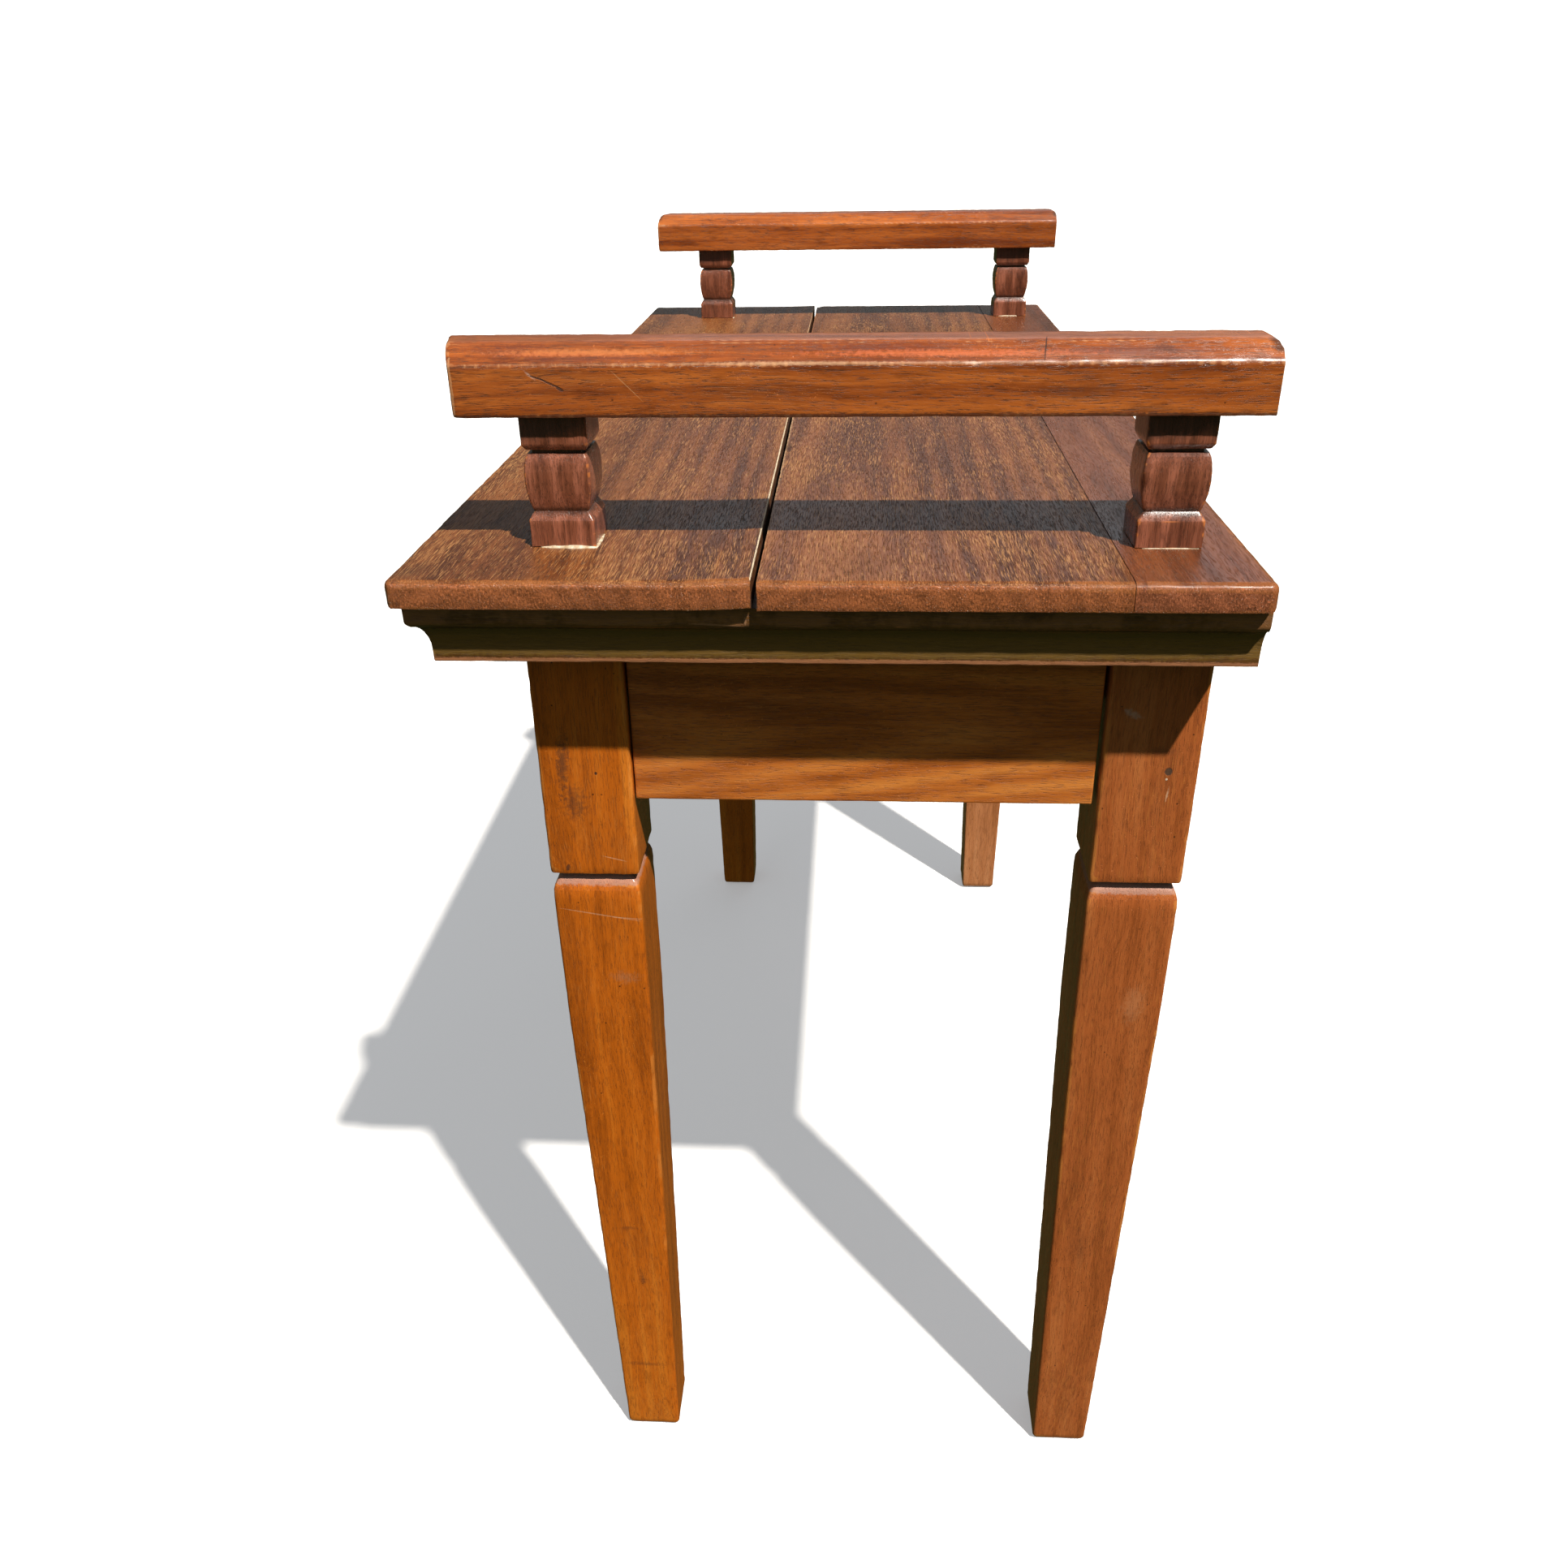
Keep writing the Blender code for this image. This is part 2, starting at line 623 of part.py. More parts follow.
def runner(side, sx):
    """Drawer runner with a guide strip along its outer side, an L in section."""
    inner = DRAWER_HALF_WIDTH - RUNNER_WIDTH + GUIDE_WIDTH
    guide = DRAWER_HALF_WIDTH
    outer = DRAWER_HALF_WIDTH + GUIDE_WIDTH
    bottom = LOWER_RAIL_TOP - RUNNER_THICKNESS
    section = (
        (inner, bottom),
        (outer, bottom),
        (outer, LOWER_RAIL_TOP + GUIDE_HEIGHT),
        (guide, LOWER_RAIL_TOP + GUIDE_HEIGHT),
        (guide, LOWER_RAIL_TOP),
        (inner, LOWER_RAIL_TOP),
    )
    rings = []
    for y in (FRONT_INNER_Y + GAP, BACK_INNER_Y - GAP):
        rings.append([Vector((sx * x, y, z)) for x, z in section])
    loft(f"drawer_{side}_runner", rings, INNER_WOOD)


def kicker(side, sx):
    xs = sorted((sx * (DRAWER_HALF_WIDTH - KICKER_WIDTH), sx * DRAWER_HALF_WIDTH))
    low = (xs[0], FRONT_INNER_Y + GAP, DRAWER_SIDE_TOP + 0.001)
    high = (xs[1], BACK_INNER_Y - GAP, DRAWER_SIDE_TOP + 0.001 + KICKER_THICKNESS)
    bar(f"drawer_{side}_kicker", low, high, INNER_WOOD)


def drawer_stop(side, sx):
    x = sx * (DRAWER_HALF_WIDTH - 0.012)
    y = DRAWER_BACK_Y + 0.0005
    z = LOWER_RAIL_TOP + GAP
    low = (x - STOP_SIZE[0] / 2, y, z)
    high = (x + STOP_SIZE[0] / 2, y + STOP_SIZE[1], z + STOP_SIZE[2])
    bar(f"drawer_{side}_stop", low, high, INNER_WOOD, arris=0.0006, steps=1)


def drawer_front():
    half = DRAWER_HALF_WIDTH - DRAWER_CLEAR
    low = (-half, FRONT_FACE_Y, LOWER_RAIL_TOP + DRAWER_CLEAR)
    high = (half, FRONT_INNER_Y, UPPER_RAIL_BOTTOM - DRAWER_CLEAR)
    bm = box_mesh(low, high)
    soften(bm, bm.edges[:], 0.0012, 2)
    made = place("drawer_front", bm, APRON_WOOD)
    tool = knob_hole_cutter()
    cut(made, tool)


def turned(points, x, y, z, count=20):
    """Rings about an axis along Y through (x, z); points are (distance forward, radius)."""
    rings = []
    for forward, radius in points:
        ring = []
        for i in range(count):
            angle = (i + 0.5) * 2 * math.pi / count
            px = x + radius * math.cos(angle)
            pz = z + radius * math.sin(angle)
            ring.append(Vector((px, y - forward, pz)))
        rings.append(ring)
    return rings


def knob_hole_cutter():
    bm = bmesh.new()
    for sx in (-1, 1):
        points = ((-0.0130, KNOB_HOLE_RADIUS), (0.010, KNOB_HOLE_RADIUS))
        rows = []
        for ring in turned(points, sx * KNOB_X, FRONT_FACE_Y, KNOB_Z):
            rows.append([bm.verts.new(p) for p in ring])
        for i in range(20):
            j = (i + 1) % 20
            bm.faces.new((rows[0][i], rows[0][j], rows[1][j], rows[1][i]))
        bm.faces.new(rows[0])
        bm.faces.new(rows[1])
    obj = place("knob_holes", bm, PLAIN)
    obj.hide_render = True
    obj.display_type = "WIRE"
    return obj


def drawer_knob(side, sx):
    """Turned knob with a tenon that goes into the drawer front."""
    points = (
        (-0.0120, 0.0040),
        (-0.0112, 0.0045),
        (0.0003, 0.0045),
        (0.0003, 0.0098),
        (0.0010, 0.0104),
        (0.0024, 0.0100),
        (0.0040, 0.0078),
        (0.0070, 0.0066),
        (0.0100, 0.0080),
        (0.0124, 0.0118),
        (0.0146, 0.0136),
        (0.0172, 0.0138),
        (0.0198, 0.0122),
        (0.0216, 0.0088),
        (0.0224, 0.0044),
        (0.0226, 0.0012),
    )
    rings = turned(points, sx * KNOB_X, FRONT_FACE_Y, KNOB_Z)
    loft(f"drawer_{side}_knob", rings, POST_WOOD)


def drawer_box():
    outer = DRAWER_HALF_WIDTH - DRAWER_CLEAR - 0.0005
    inner = outer - DRAWER_WALL
    front = FRONT_INNER_Y + GAP
    base = LOWER_RAIL_TOP + 0.0005
    for side, sx in (("left", -1), ("right", 1)):
        xs = sorted((sx * inner, sx * outer))
        low = (xs[0], front, base)
        high = (xs[1], DRAWER_BACK_Y, DRAWER_SIDE_TOP)
        bar(f"drawer_{side}_side", low, high, INNER_WOOD, arris=0.0008, steps=1)
    floor_top = DRAWER_BOTTOM_Z + DRAWER_BOTTOM_THICKNESS
    wall = inner - GAP
    low = (-wall, front, DRAWER_BOTTOM_Z)
    bar("drawer_bottom", low, (wall, DRAWER_BACK_Y, floor_top), INNER_WOOD, arris=0)
    low = (-wall, DRAWER_BACK_Y - DRAWER_WALL, floor_top + GAP)
    high = (wall, DRAWER_BACK_Y, DRAWER_SIDE_TOP - 0.006)
    bar("drawer_back", low, high, INNER_WOOD, arris=0.0008, steps=1)


def drawer():
    drawer_front()
    drawer_box()
    for side, sx in (("left", -1), ("right", 1)):
        drawer_knob(side, sx)


def under_structure():
    for side, sx in (("left", -1), ("right", 1)):
        end_apron(side, sx)
        corner_block(f"front_{side}_corner_block", sx, -1)
        corner_block(f"back_{side}_corner_block", sx, 1)
        batten(side, sx)
        runner(side, sx)
        kicker(side, sx)
        drawer_stop(side, sx)


clear_scene()
legs_and_glides()
long_aprons()
under_structure()
mouldings()
top_boards()
galleries()
drawer()
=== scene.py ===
# %% [markdown]
# A vintage sewing table in old varnished mahogany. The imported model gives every
# piece its true size and place. This lesson keeps the hidden pieces as they are
# and gives each visible one a finer shape: eased and worn arrises, small dents,
# hand-worn surfaces, and a wood finish whose grain runs the way its timber runs.

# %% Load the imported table
import json
import math

import bmesh
import bpy
from mathutils import Matrix, Vector, kdtree, noise


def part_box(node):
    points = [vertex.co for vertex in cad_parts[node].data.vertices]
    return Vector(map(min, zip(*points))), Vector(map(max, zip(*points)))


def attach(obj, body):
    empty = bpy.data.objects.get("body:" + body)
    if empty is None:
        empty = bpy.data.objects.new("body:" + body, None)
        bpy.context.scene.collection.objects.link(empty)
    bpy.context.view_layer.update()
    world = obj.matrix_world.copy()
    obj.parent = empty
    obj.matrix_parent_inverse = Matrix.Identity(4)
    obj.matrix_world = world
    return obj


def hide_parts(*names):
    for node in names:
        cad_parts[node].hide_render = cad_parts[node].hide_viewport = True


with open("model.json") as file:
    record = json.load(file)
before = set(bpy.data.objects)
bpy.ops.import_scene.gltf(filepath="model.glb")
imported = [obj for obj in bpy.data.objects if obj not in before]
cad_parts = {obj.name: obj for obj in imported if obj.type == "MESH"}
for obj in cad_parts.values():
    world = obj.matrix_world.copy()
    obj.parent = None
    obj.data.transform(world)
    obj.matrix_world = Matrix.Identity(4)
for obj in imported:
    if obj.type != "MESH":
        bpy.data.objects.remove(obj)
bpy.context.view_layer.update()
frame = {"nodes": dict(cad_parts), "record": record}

nodes = frame["nodes"]
body_of = {n: body for body, names in frame["record"]["behaviour"]["bodies"].items() for n in names}
print("pieces in the packed table:", len(nodes))

# %% [markdown]
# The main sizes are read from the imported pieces, so nothing has to be fitted.
# X runs along the table, the user sits on the -Y side, Z is up, all in metres.

# %% Main sizes
def span(node):
    low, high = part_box(node)
    return Vector(low), Vector(high)


top_low, top_high = span("middle_top_board")
front_low, front_high = span("front_top_board")
back_high = span("back_top_board")[1]
TOP = top_high.z
HALF_L = top_high.x
FRONT = front_low.y
BACK = back_high.y
print("top", round(2 * HALF_L, 3), "x", round(BACK - FRONT, 3), "at", round(TOP, 3))

# %% [markdown]
# ## Camera
# The view looks along the table from its right end, from a little above the
# gallery rail. Depth of field stays off and the lens is not shifted.

# %% Camera
YAW, PITCH, ROLL = 0.0617, 0.4878, -0.0165
ahead = Vector((-math.cos(PITCH) * math.cos(YAW), -math.cos(PITCH) * math.sin(YAW), -math.sin(PITCH)))
level = ahead.cross(Vector((0, 0, 1))).normalized()
over = level.cross(ahead)
right = math.cos(ROLL) * level + math.sin(ROLL) * over
up = math.cos(ROLL) * over - math.sin(ROLL) * level

camera_data = bpy.data.cameras.new("camera")
camera_data.sensor_width = 36.0
camera_data.lens = 29.47
camera_data.clip_start = 0.02
camera = bpy.data.objects.new("camera", camera_data)
bpy.context.scene.collection.objects.link(camera)
turn = Matrix((right, up, -ahead)).transposed().to_4x4()
camera.matrix_world = Matrix.Translation((HALF_L + 0.6288, 0.0171, TOP + 0.2174)) @ turn
bpy.context.scene.camera = camera
print("camera at", [round(v, 3) for v in camera.matrix_world.translation])

# %% [markdown]
# ## Floor and light
# A pale floor runs up into a pale backdrop. One large warm key light stands
# high on the camera's right, so the rail and the top's overhang throw their
# shadows down and a little to the left. A broad cool light behind the far end
# gives the old varnish its sheen, and a dim sky fills the shadows.

# %% Floor
def plain(name, colour, roughness):
    made = bpy.data.materials.new(name)
    made.use_nodes = True
    shader = made.node_tree.nodes["Principled BSDF"]
    shader.inputs["Base Color"].default_value = (*colour, 1)
    shader.inputs["Roughness"].default_value = roughness
    return made


bm = bmesh.new()
bmesh.ops.create_grid(bm, x_segments=1, y_segments=1, size=1.0)
bmesh.ops.scale(bm, vec=(5.0, 6.0, 1.0), verts=bm.verts)
far = [e for e in bm.edges if all(v.co.x < -4.9 for v in e.verts)]
for k in range(12):
    step = bmesh.ops.extrude_edge_only(bm, edges=far)
    moved = [v for v in step["geom"] if isinstance(v, bmesh.types.BMVert)]
    angle = (k + 0.5) / 12 * math.pi / 2
    bmesh.ops.translate(bm, vec=(-0.26 * math.cos(angle), 0, 0.26 * math.sin(angle)), verts=moved)
    far = [e for e in step["geom"] if isinstance(e, bmesh.types.BMEdge)]
step = bmesh.ops.extrude_edge_only(bm, edges=far)
bmesh.ops.translate(bm, vec=(0, 0, 6), verts=[v for v in step["geom"] if isinstance(v, bmesh.types.BMVert)])
floor_mesh = bpy.data.meshes.new("floor")
bm.to_mesh(floor_mesh)
bm.free()
for face in floor_mesh.polygons:
    face.use_smooth = True
floor = bpy.data.objects.new("floor", floor_mesh)
bpy.context.scene.collection.objects.link(floor)
finish = plain("pale_floor", (0.80, 0.79, 0.775), 0.9)
finish.node_tree.nodes["Principled BSDF"].inputs["Emission Color"].default_value = (1, 1, 1, 1)
finish.node_tree.nodes["Principled BSDF"].inputs["Emission Strength"].default_value = 0.30
floor_mesh.materials.append(finish)
floor.visible_diffuse = False
floor.visible_glossy = False
print("floor faces", len(floor_mesh.polygons))

# %% [markdown]
# A pale ring stands outside the floor and rises round it like a bowl. It only
# shows behind the table when someone walks round it, so it gives no light to the
# table and throws no shadow. Each step widens the last ring and lifts it.

# %% Backdrop
RING_RADIUS = 4.4
CURVE_STEPS = 8
lifts = [1.1 * math.sin((k + 0.5) / CURVE_STEPS * math.pi / 2) for k in range(CURVE_STEPS)]
ring_steps = [(1.75, 0.0), *((1.06, lift) for lift in lifts), (1.0, 8.0)]
bm = bmesh.new()
bmesh.ops.create_circle(bm, cap_ends=False, segments=96, radius=RING_RADIUS)
bmesh.ops.translate(bm, vec=(0, 0, -0.004), verts=bm.verts)
ring = bm.edges[:]
for width, rise in ring_steps:
    step = bmesh.ops.extrude_edge_only(bm, edges=ring)
    moved = [v for v in step["geom"] if isinstance(v, bmesh.types.BMVert)]
    ring = [e for e in step["geom"] if isinstance(e, bmesh.types.BMEdge)]
    bmesh.ops.scale(bm, vec=(width, width, 1), verts=moved)
    bmesh.ops.translate(bm, vec=(0, 0, rise), verts=moved)
bmesh.ops.reverse_faces(bm, faces=[f for f in bm.faces if f.normal.z < -0.01])
ring_mesh = bpy.data.meshes.new("backdrop")
bm.to_mesh(ring_mesh)
bm.free()
for face in ring_mesh.polygons:
    face.use_smooth = True
backdrop = bpy.data.objects.new("backdrop", ring_mesh)
bpy.context.scene.collection.objects.link(backdrop)
pale = plain("pale_backdrop", (0.60, 0.60, 0.59), 0.9)
pale.node_tree.nodes["Principled BSDF"].inputs["Emission Color"].default_value = (1, 1, 1, 1)
pale.node_tree.nodes["Principled BSDF"].inputs["Emission Strength"].default_value = 0.55
ring_mesh.materials.append(pale)
for kind in ("visible_diffuse", "visible_glossy", "visible_shadow", "visible_transmission"):
    setattr(backdrop, kind, False)
print("backdrop faces", len(ring_mesh.polygons))

# %% [markdown]
# A sun lamp is a light from one direction only, and a softbox is a lit rectangle
# aimed at a point. The world adds a little sky from above and a faint green from
# below, as grass would, and the display shows the colours without a film curve.

# %% Lights
def sun(name, towards, strength, colour, angle):
    data = bpy.data.lights.new(name, "SUN")
    data.energy = strength
    data.color = colour
    data.angle = math.radians(angle)
    light = bpy.data.objects.new(name, data)
    bpy.context.scene.collection.objects.link(light)
    light.rotation_euler = Vector(towards).to_track_quat("Z", "Y").to_euler()
    return light


def softbox(name, place, aim, size, watts, colour):
    data = bpy.data.lights.new(name, "AREA")
    data.shape = "RECTANGLE"
    data.size, data.size_y = size
    data.energy = watts
    data.color = colour
    light = bpy.data.objects.new(name, data)
    bpy.context.scene.collection.objects.link(light)
    light.location = place
    light.rotation_euler = (Vector(place) - Vector(aim)).to_track_quat("Z", "Y").to_euler()
    return light


sun("key", (0.54, 0.42, 1.0), 5.6, (1.0, 0.95, 0.88), 1.5)
softbox("sheen", (-3.2, 0.6, 2.6), (-0.3, 0, 0.76), (3.0, 2.0), 8, (0.86, 0.92, 1.0))
softbox("fill", (2.6, -1.8, 1.6), (0.3, 0, 0.5), (2.0, 2.0), 3.6, (1.0, 0.97, 0.93))

world = bpy.data.worlds.new("studio")
bpy.context.scene.world = world
world.use_nodes = True
tree = world.node_tree
background = tree.nodes["Background"]
coordinates = tree.nodes.new("ShaderNodeTexCoord")
parts = tree.nodes.new("ShaderNodeSeparateXYZ")
blend = tree.nodes.new("ShaderNodeMapRange")
blend.inputs["From Min"].default_value = -0.05
blend.inputs["From Max"].default_value = 0.40
colours = tree.nodes.new("ShaderNodeMix")
colours.data_type = "RGBA"
colours.inputs[6].default_value = (0.075, 0.095, 0.030, 1)
colours.inputs[7].default_value = (0.31, 0.34, 0.38, 1)
tree.links.new(coordinates.outputs["Generated"], parts.inputs[0])
tree.links.new(parts.outputs["Z"], blend.inputs["Value"])
tree.links.new(blend.outputs["Result"], colours.inputs[0])
tree.links.new(colours.outputs[2], background.inputs["Color"])
background.inputs["Strength"].default_value = 0.56
bpy.context.scene.view_settings.view_transform = "Standard"

# %% [markdown]
# ## The wood finish
# Old varnished mahogany shows several layers at once: a slow change of colour
# along the board, growth rings cut lengthwise, fine fibre streaks, short open
# pores, dark stains and specks, thin scratches, and brighter wood where hands
# have worn the arrises. Each layer is a few nodes on the piece's own coordinates,
# stretched along the grain, so the grain never slides or needs unwrapping.

# %% Small helpers for shader nodes
def add(tree, kind, inputs=(), **settings):
    made = tree.nodes.new(kind)
    for name, value in settings.items():
        setattr(made, name, value)
    for key, value in dict(inputs).items():
        if isinstance(value, bpy.types.NodeSocket):
            tree.links.new(value, made.inputs[key])
        else:
            made.inputs[key].default_value = value
    return made


def calc(tree, operation, a, b=0.0, clamp=False):
    return add(tree, "ShaderNodeMath", {0: a, 1: b}, operation=operation, use_clamp=clamp).outputs[0]


def window(tree, value, low, high, to_low=0.0, to_high=1.0):
    """Maps low..high smoothly to to_low..to_high, and holds the ends."""
    made = add(tree, "ShaderNodeMapRange", {"Value": value, "From Min": low, "From Max": high,
               "To Min": to_low, "To Max": to_high}, interpolation_type="SMOOTHSTEP")
    return made.outputs["Result"]


def blended(tree, factor, a, b):
    def colour(c):
        return (*c, 1) if isinstance(c, tuple) else c

    return add(tree, "ShaderNodeMix", {0: factor, 6: colour(a), 7: colour(b)}, data_type="RGBA").outputs[2]


def stretched(tree, vector, scale, offset=(0, 0, 0), turned=(0, 0, 0)):
    return add(tree, "ShaderNodeMapping", {"Vector": vector, "Scale": scale, "Location": offset,
               "Rotation": turned}).outputs[0]


def cloud(tree, vector, detail=3.0, roughness=0.55):
    return add(tree, "ShaderNodeTexNoise", {"Vector": vector, "Scale": 1.0, "Detail": detail,
               "Roughness": roughness}).outputs[0]


def tinted(colour, by):
    return tuple(min(1.0, c * by) for c in colour)


# %% [markdown]
# A scar is one known mark on one piece: a scratch, a chip, a stain, a line of
# old glue, or a painted patch of light or shade such as a cast shadow, a sunlit
# line or a reflection. It is an ellipse placed with a Mapping node, whose edge is
# broken up by noise, with its own colour, roughness and depth.

# %% Scars and painted light
def scar_and_light_mask(tree, place, at, size, turned, ragged):
    moved = add(tree, "ShaderNodeVectorMath", {0: place, 1: at}, operation="SUBTRACT").outputs[0]
    spun = add(tree, "ShaderNodeVectorRotate", {"Vector": moved, "Rotation": turned},
               rotation_type="EULER_XYZ").outputs[0]
    scaled = add(tree, "ShaderNodeVectorMath", {0: spun, 1: tuple(1 / s for s in size)},
                 operation="MULTIPLY").outputs[0]
    reach = add(tree, "ShaderNodeVectorMath", {0: scaled}, operation="LENGTH").outputs["Value"]
    grain = cloud(tree, stretched(tree, place, (420, 420, 420), at), 4, 0.7)
    return window(tree, calc(tree, "ADD", reach, calc(tree, "MULTIPLY", calc(tree, "SUBTRACT", grain, 0.5),
                  ragged)), 1.10, 0.80 if ragged < 1.3 else 0.10)


# %% [markdown]
# The finish itself. "axis" is the way the timber runs, "middle" the piece's
# centre, and "seed" moves the noise so that no two boards share a figure. The
# vertex attribute "arris" grows from 0 on an outer edge to 1 at 10 mm from it, and
# "hollow" does the same from an inner corner. Towards an inner corner the colour is
# darkened, as painted shade together with the old polish and dirt that gather there.

# %% The finish
ORDER = {"x": (0, 1, 2), "y": (1, 0, 2), "z": (2, 0, 1)}


def wood(name, axis, middle, seed, dark, mid, light, worn, figure=0.45, ring=0.0065, pith=(0.045, 0.06),
         lean=0.15, pores=0.5, pore_colour=(0.06, 0.022, 0.008), stains=0.35, scratches=0.35, wear=0.6,
         wear_width=0.22, gloss=0.36, coat=0.35, arris=True, relief=1.0, blotch=0.5, contrast=0.42,
         flecks=0.3, crowd=0.0, fleck_colour=(0.40, 0.22, 0.09), end_mid=None, end_gloss=0.0, raggedness=1.5,
         scars_and_painted_light=()):
    made = bpy.data.materials.new(name)
    made.use_nodes = True
    tree = made.node_tree
    shader = tree.nodes["Principled BSDF"]
    source = add(tree, "ShaderNodeTexCoord")
    place = source.outputs["Object"]
    centred = add(tree, "ShaderNodeVectorMath", {0: place, 1: tuple(middle)}, operation="SUBTRACT").outputs[0]
    split = add(tree, "ShaderNodeSeparateXYZ", {0: centred})
    joined = add(tree, "ShaderNodeCombineXYZ",
                 {k: split.outputs[o] for k, o in enumerate(ORDER[axis])}).outputs[0]
    sway = add(tree, "ShaderNodeTexNoise", {"Vector": stretched(tree, joined, (5, 9, 9), (seed, seed, 0)),
               "Scale": 1.0, "Detail": 2.0}).outputs["Color"]
    bent = add(tree, "ShaderNodeVectorMath",
               {0: sway, 1: (0.0, 0.014, 0.014), 2: (seed, seed * 0.37, seed * 0.73)},
               operation="MULTIPLY_ADD").outputs[0]
    grain = add(tree, "ShaderNodeVectorMath", {0: joined, 1: bent}, operation="ADD").outputs[0]

    slow = cloud(tree, stretched(tree, grain, (2.2, 16, 16)), 3)
    patch = cloud(tree, stretched(tree, grain, (9, 26, 26), (3, 1, 7)), 4)
    fibre = cloud(tree, stretched(tree, grain, (22, 520, 520)), 4, 0.65)
    strand = cloud(tree, stretched(tree, grain, (6, 150, 150), (5, 2, 1)), 3, 0.6)

    leaned = stretched(tree, joined, (0.15, 1, 1), (0, *pith), (0, lean, lean * 0.8))
    rings = add(tree, "ShaderNodeTexWave", {"Vector": leaned, "Scale": 0.314 / ring, "Distortion": 2.6,
                "Detail": 3.0, "Detail Scale": 0.7, "Detail Roughness": 0.6, "Phase Offset": seed},
                wave_type="RINGS", rings_direction="X", wave_profile="SIN").outputs["Fac"]

    tone = calc(tree, "ADD", calc(tree, "MULTIPLY", slow, 0.9), calc(tree, "MULTIPLY", strand, 0.5))
    tone = calc(tree, "ADD", tone, calc(tree, "MULTIPLY", calc(tree, "SUBTRACT", rings, 0.5), figure * 0.45))
    tone = calc(tree, "ADD", tone, calc(tree, "MULTIPLY", fibre, 0.45))
    tone = window(tree, tone, 0.925 - contrast, 0.925 + contrast)
    colour = blended(tree, window(tree, tone, 0.0, 0.55), dark, mid)
    colour = blended(tree, window(tree, tone, 0.45, 1.0), colour, light)
    mottle = cloud(tree, stretched(tree, grain, (45, 190, 190), (9, 2, 6)), 4, 0.65)
    colour = blended(tree, window(tree, mottle, 0.50, 0.72, 0.0, blotch * 1.4), colour, tinted(dark, 0.7))
    colour = blended(tree, window(tree, patch, 0.54, 0.76, 0.0, blotch), colour, tinted(dark, 0.42))

    pore = cloud(tree, stretched(tree, grain, (110, 1900, 1900), (1, 9, 4)), 3, 0.6)
    pore_mask = window(tree, pore, 0.53, 0.66)
    colour = blended(tree, calc(tree, "MULTIPLY", pore_mask, pores), colour, pore_colour)
    fleck = cloud(tree, stretched(tree, grain, (75, 1700, 1700), (8, 3, 2)), 3, 0.6)
    drift = calc(tree, "MULTIPLY", calc(tree, "SUBTRACT", patch, 0.5), 0.35)
    fleck_mask = window(tree, calc(tree, "ADD", fleck, drift), 0.56 - crowd, 0.70 - crowd, 0.0, flecks)
    colour = blended(tree, fleck_mask, colour, fleck_colour)

    specks = add(tree, "ShaderNodeTexVoronoi", {"Vector": place, "Scale": 170.0, "Randomness": 1.0})
    rare = cloud(tree, stretched(tree, place, (40, 40, 40), (2, 5, 8)), 2)
    speck = calc(tree, "MULTIPLY", window(tree, specks.outputs["Distance"], 0.14, 0.05),
                 window(tree, rare, 0.56, 0.64, 0.0, stains))
    colour = blended(tree, speck, colour, (0.018, 0.008, 0.004))

    line = None
    for turned, offset in ((0.55, 3), (-0.9, 11), (1.35, 23)):
        across = stretched(tree, place, (9, 620, 620), (offset, offset, offset), (turned, turned * 0.7, turned))
        thin = window(tree, cloud(tree, across, 1), 0.72, 0.76)
        line = thin if line is None else calc(tree, "MAXIMUM", line, thin)
    where = window(tree, cloud(tree, stretched(tree, place, (13, 13, 13), (4, 4, 1)), 2), 0.47, 0.62)
    scratch = calc(tree, "MULTIPLY", line, where)
    colour = blended(tree, calc(tree, "MULTIPLY", scratch, scratches), colour, tinted(light, 1.6))

    rough = calc(tree, "ADD", gloss, calc(tree, "MULTIPLY", calc(tree, "SUBTRACT", patch, 0.5), 0.35))
    rough = calc(tree, "ADD", rough, calc(tree, "MULTIPLY", calc(tree, "ADD", pore_mask, scratch), 0.12))
    height = calc(tree, "ADD", calc(tree, "MULTIPLY", fibre, 0.45), calc(tree, "MULTIPLY", pore_mask, -0.55))
    height = calc(tree, "ADD", height, calc(tree, "MULTIPLY", patch, 0.5))
    height = calc(tree, "SUBTRACT", height, calc(tree, "MULTIPLY", scratch, 0.4))

    facing = add(tree, "ShaderNodeSeparateXYZ", {0: source.outputs["Normal"]}).outputs[ORDER[axis][0]]
    end = window(tree, calc(tree, "ABSOLUTE", facing), 0.70, 0.88)
    dots = cloud(tree, stretched(tree, place, (1000, 1000, 560)), 3, 0.7)
    base = end_mid or tinted(mid, 0.8)
    ends = blended(tree, window(tree, rings, 0.2, 0.9), tinted(base, 0.85), tinted(base, 1.12))
    checks = cloud(tree, stretched(tree, place, (150, 150, 150), (7, 7, 7)), 4, 0.75)
    ends = blended(tree, window(tree, dots, 0.53, 0.66, 0.0, 0.8), ends, tinted(base, 2.1))
    ends = blended(tree, window(tree, dots, 0.46, 0.36, 0.0, 0.7), ends, tinted(base, 0.38))
    ends = blended(tree, window(tree, checks, 0.44, 0.30, 0.0, 0.7), ends, tinted(base, 0.35))
    ends = blended(tree, window(tree, patch, 0.5, 0.75, 0.0, 0.35), ends, tinted(base, 0.45))
    colour = blended(tree, end, colour, ends)
    height = calc(tree, "ADD", height, calc(tree, "MULTIPLY", calc(tree, "MULTIPLY", dots, end), 1.6))
    rough = calc(tree, "SUBTRACT", rough, calc(tree, "MULTIPLY", end, end_gloss))

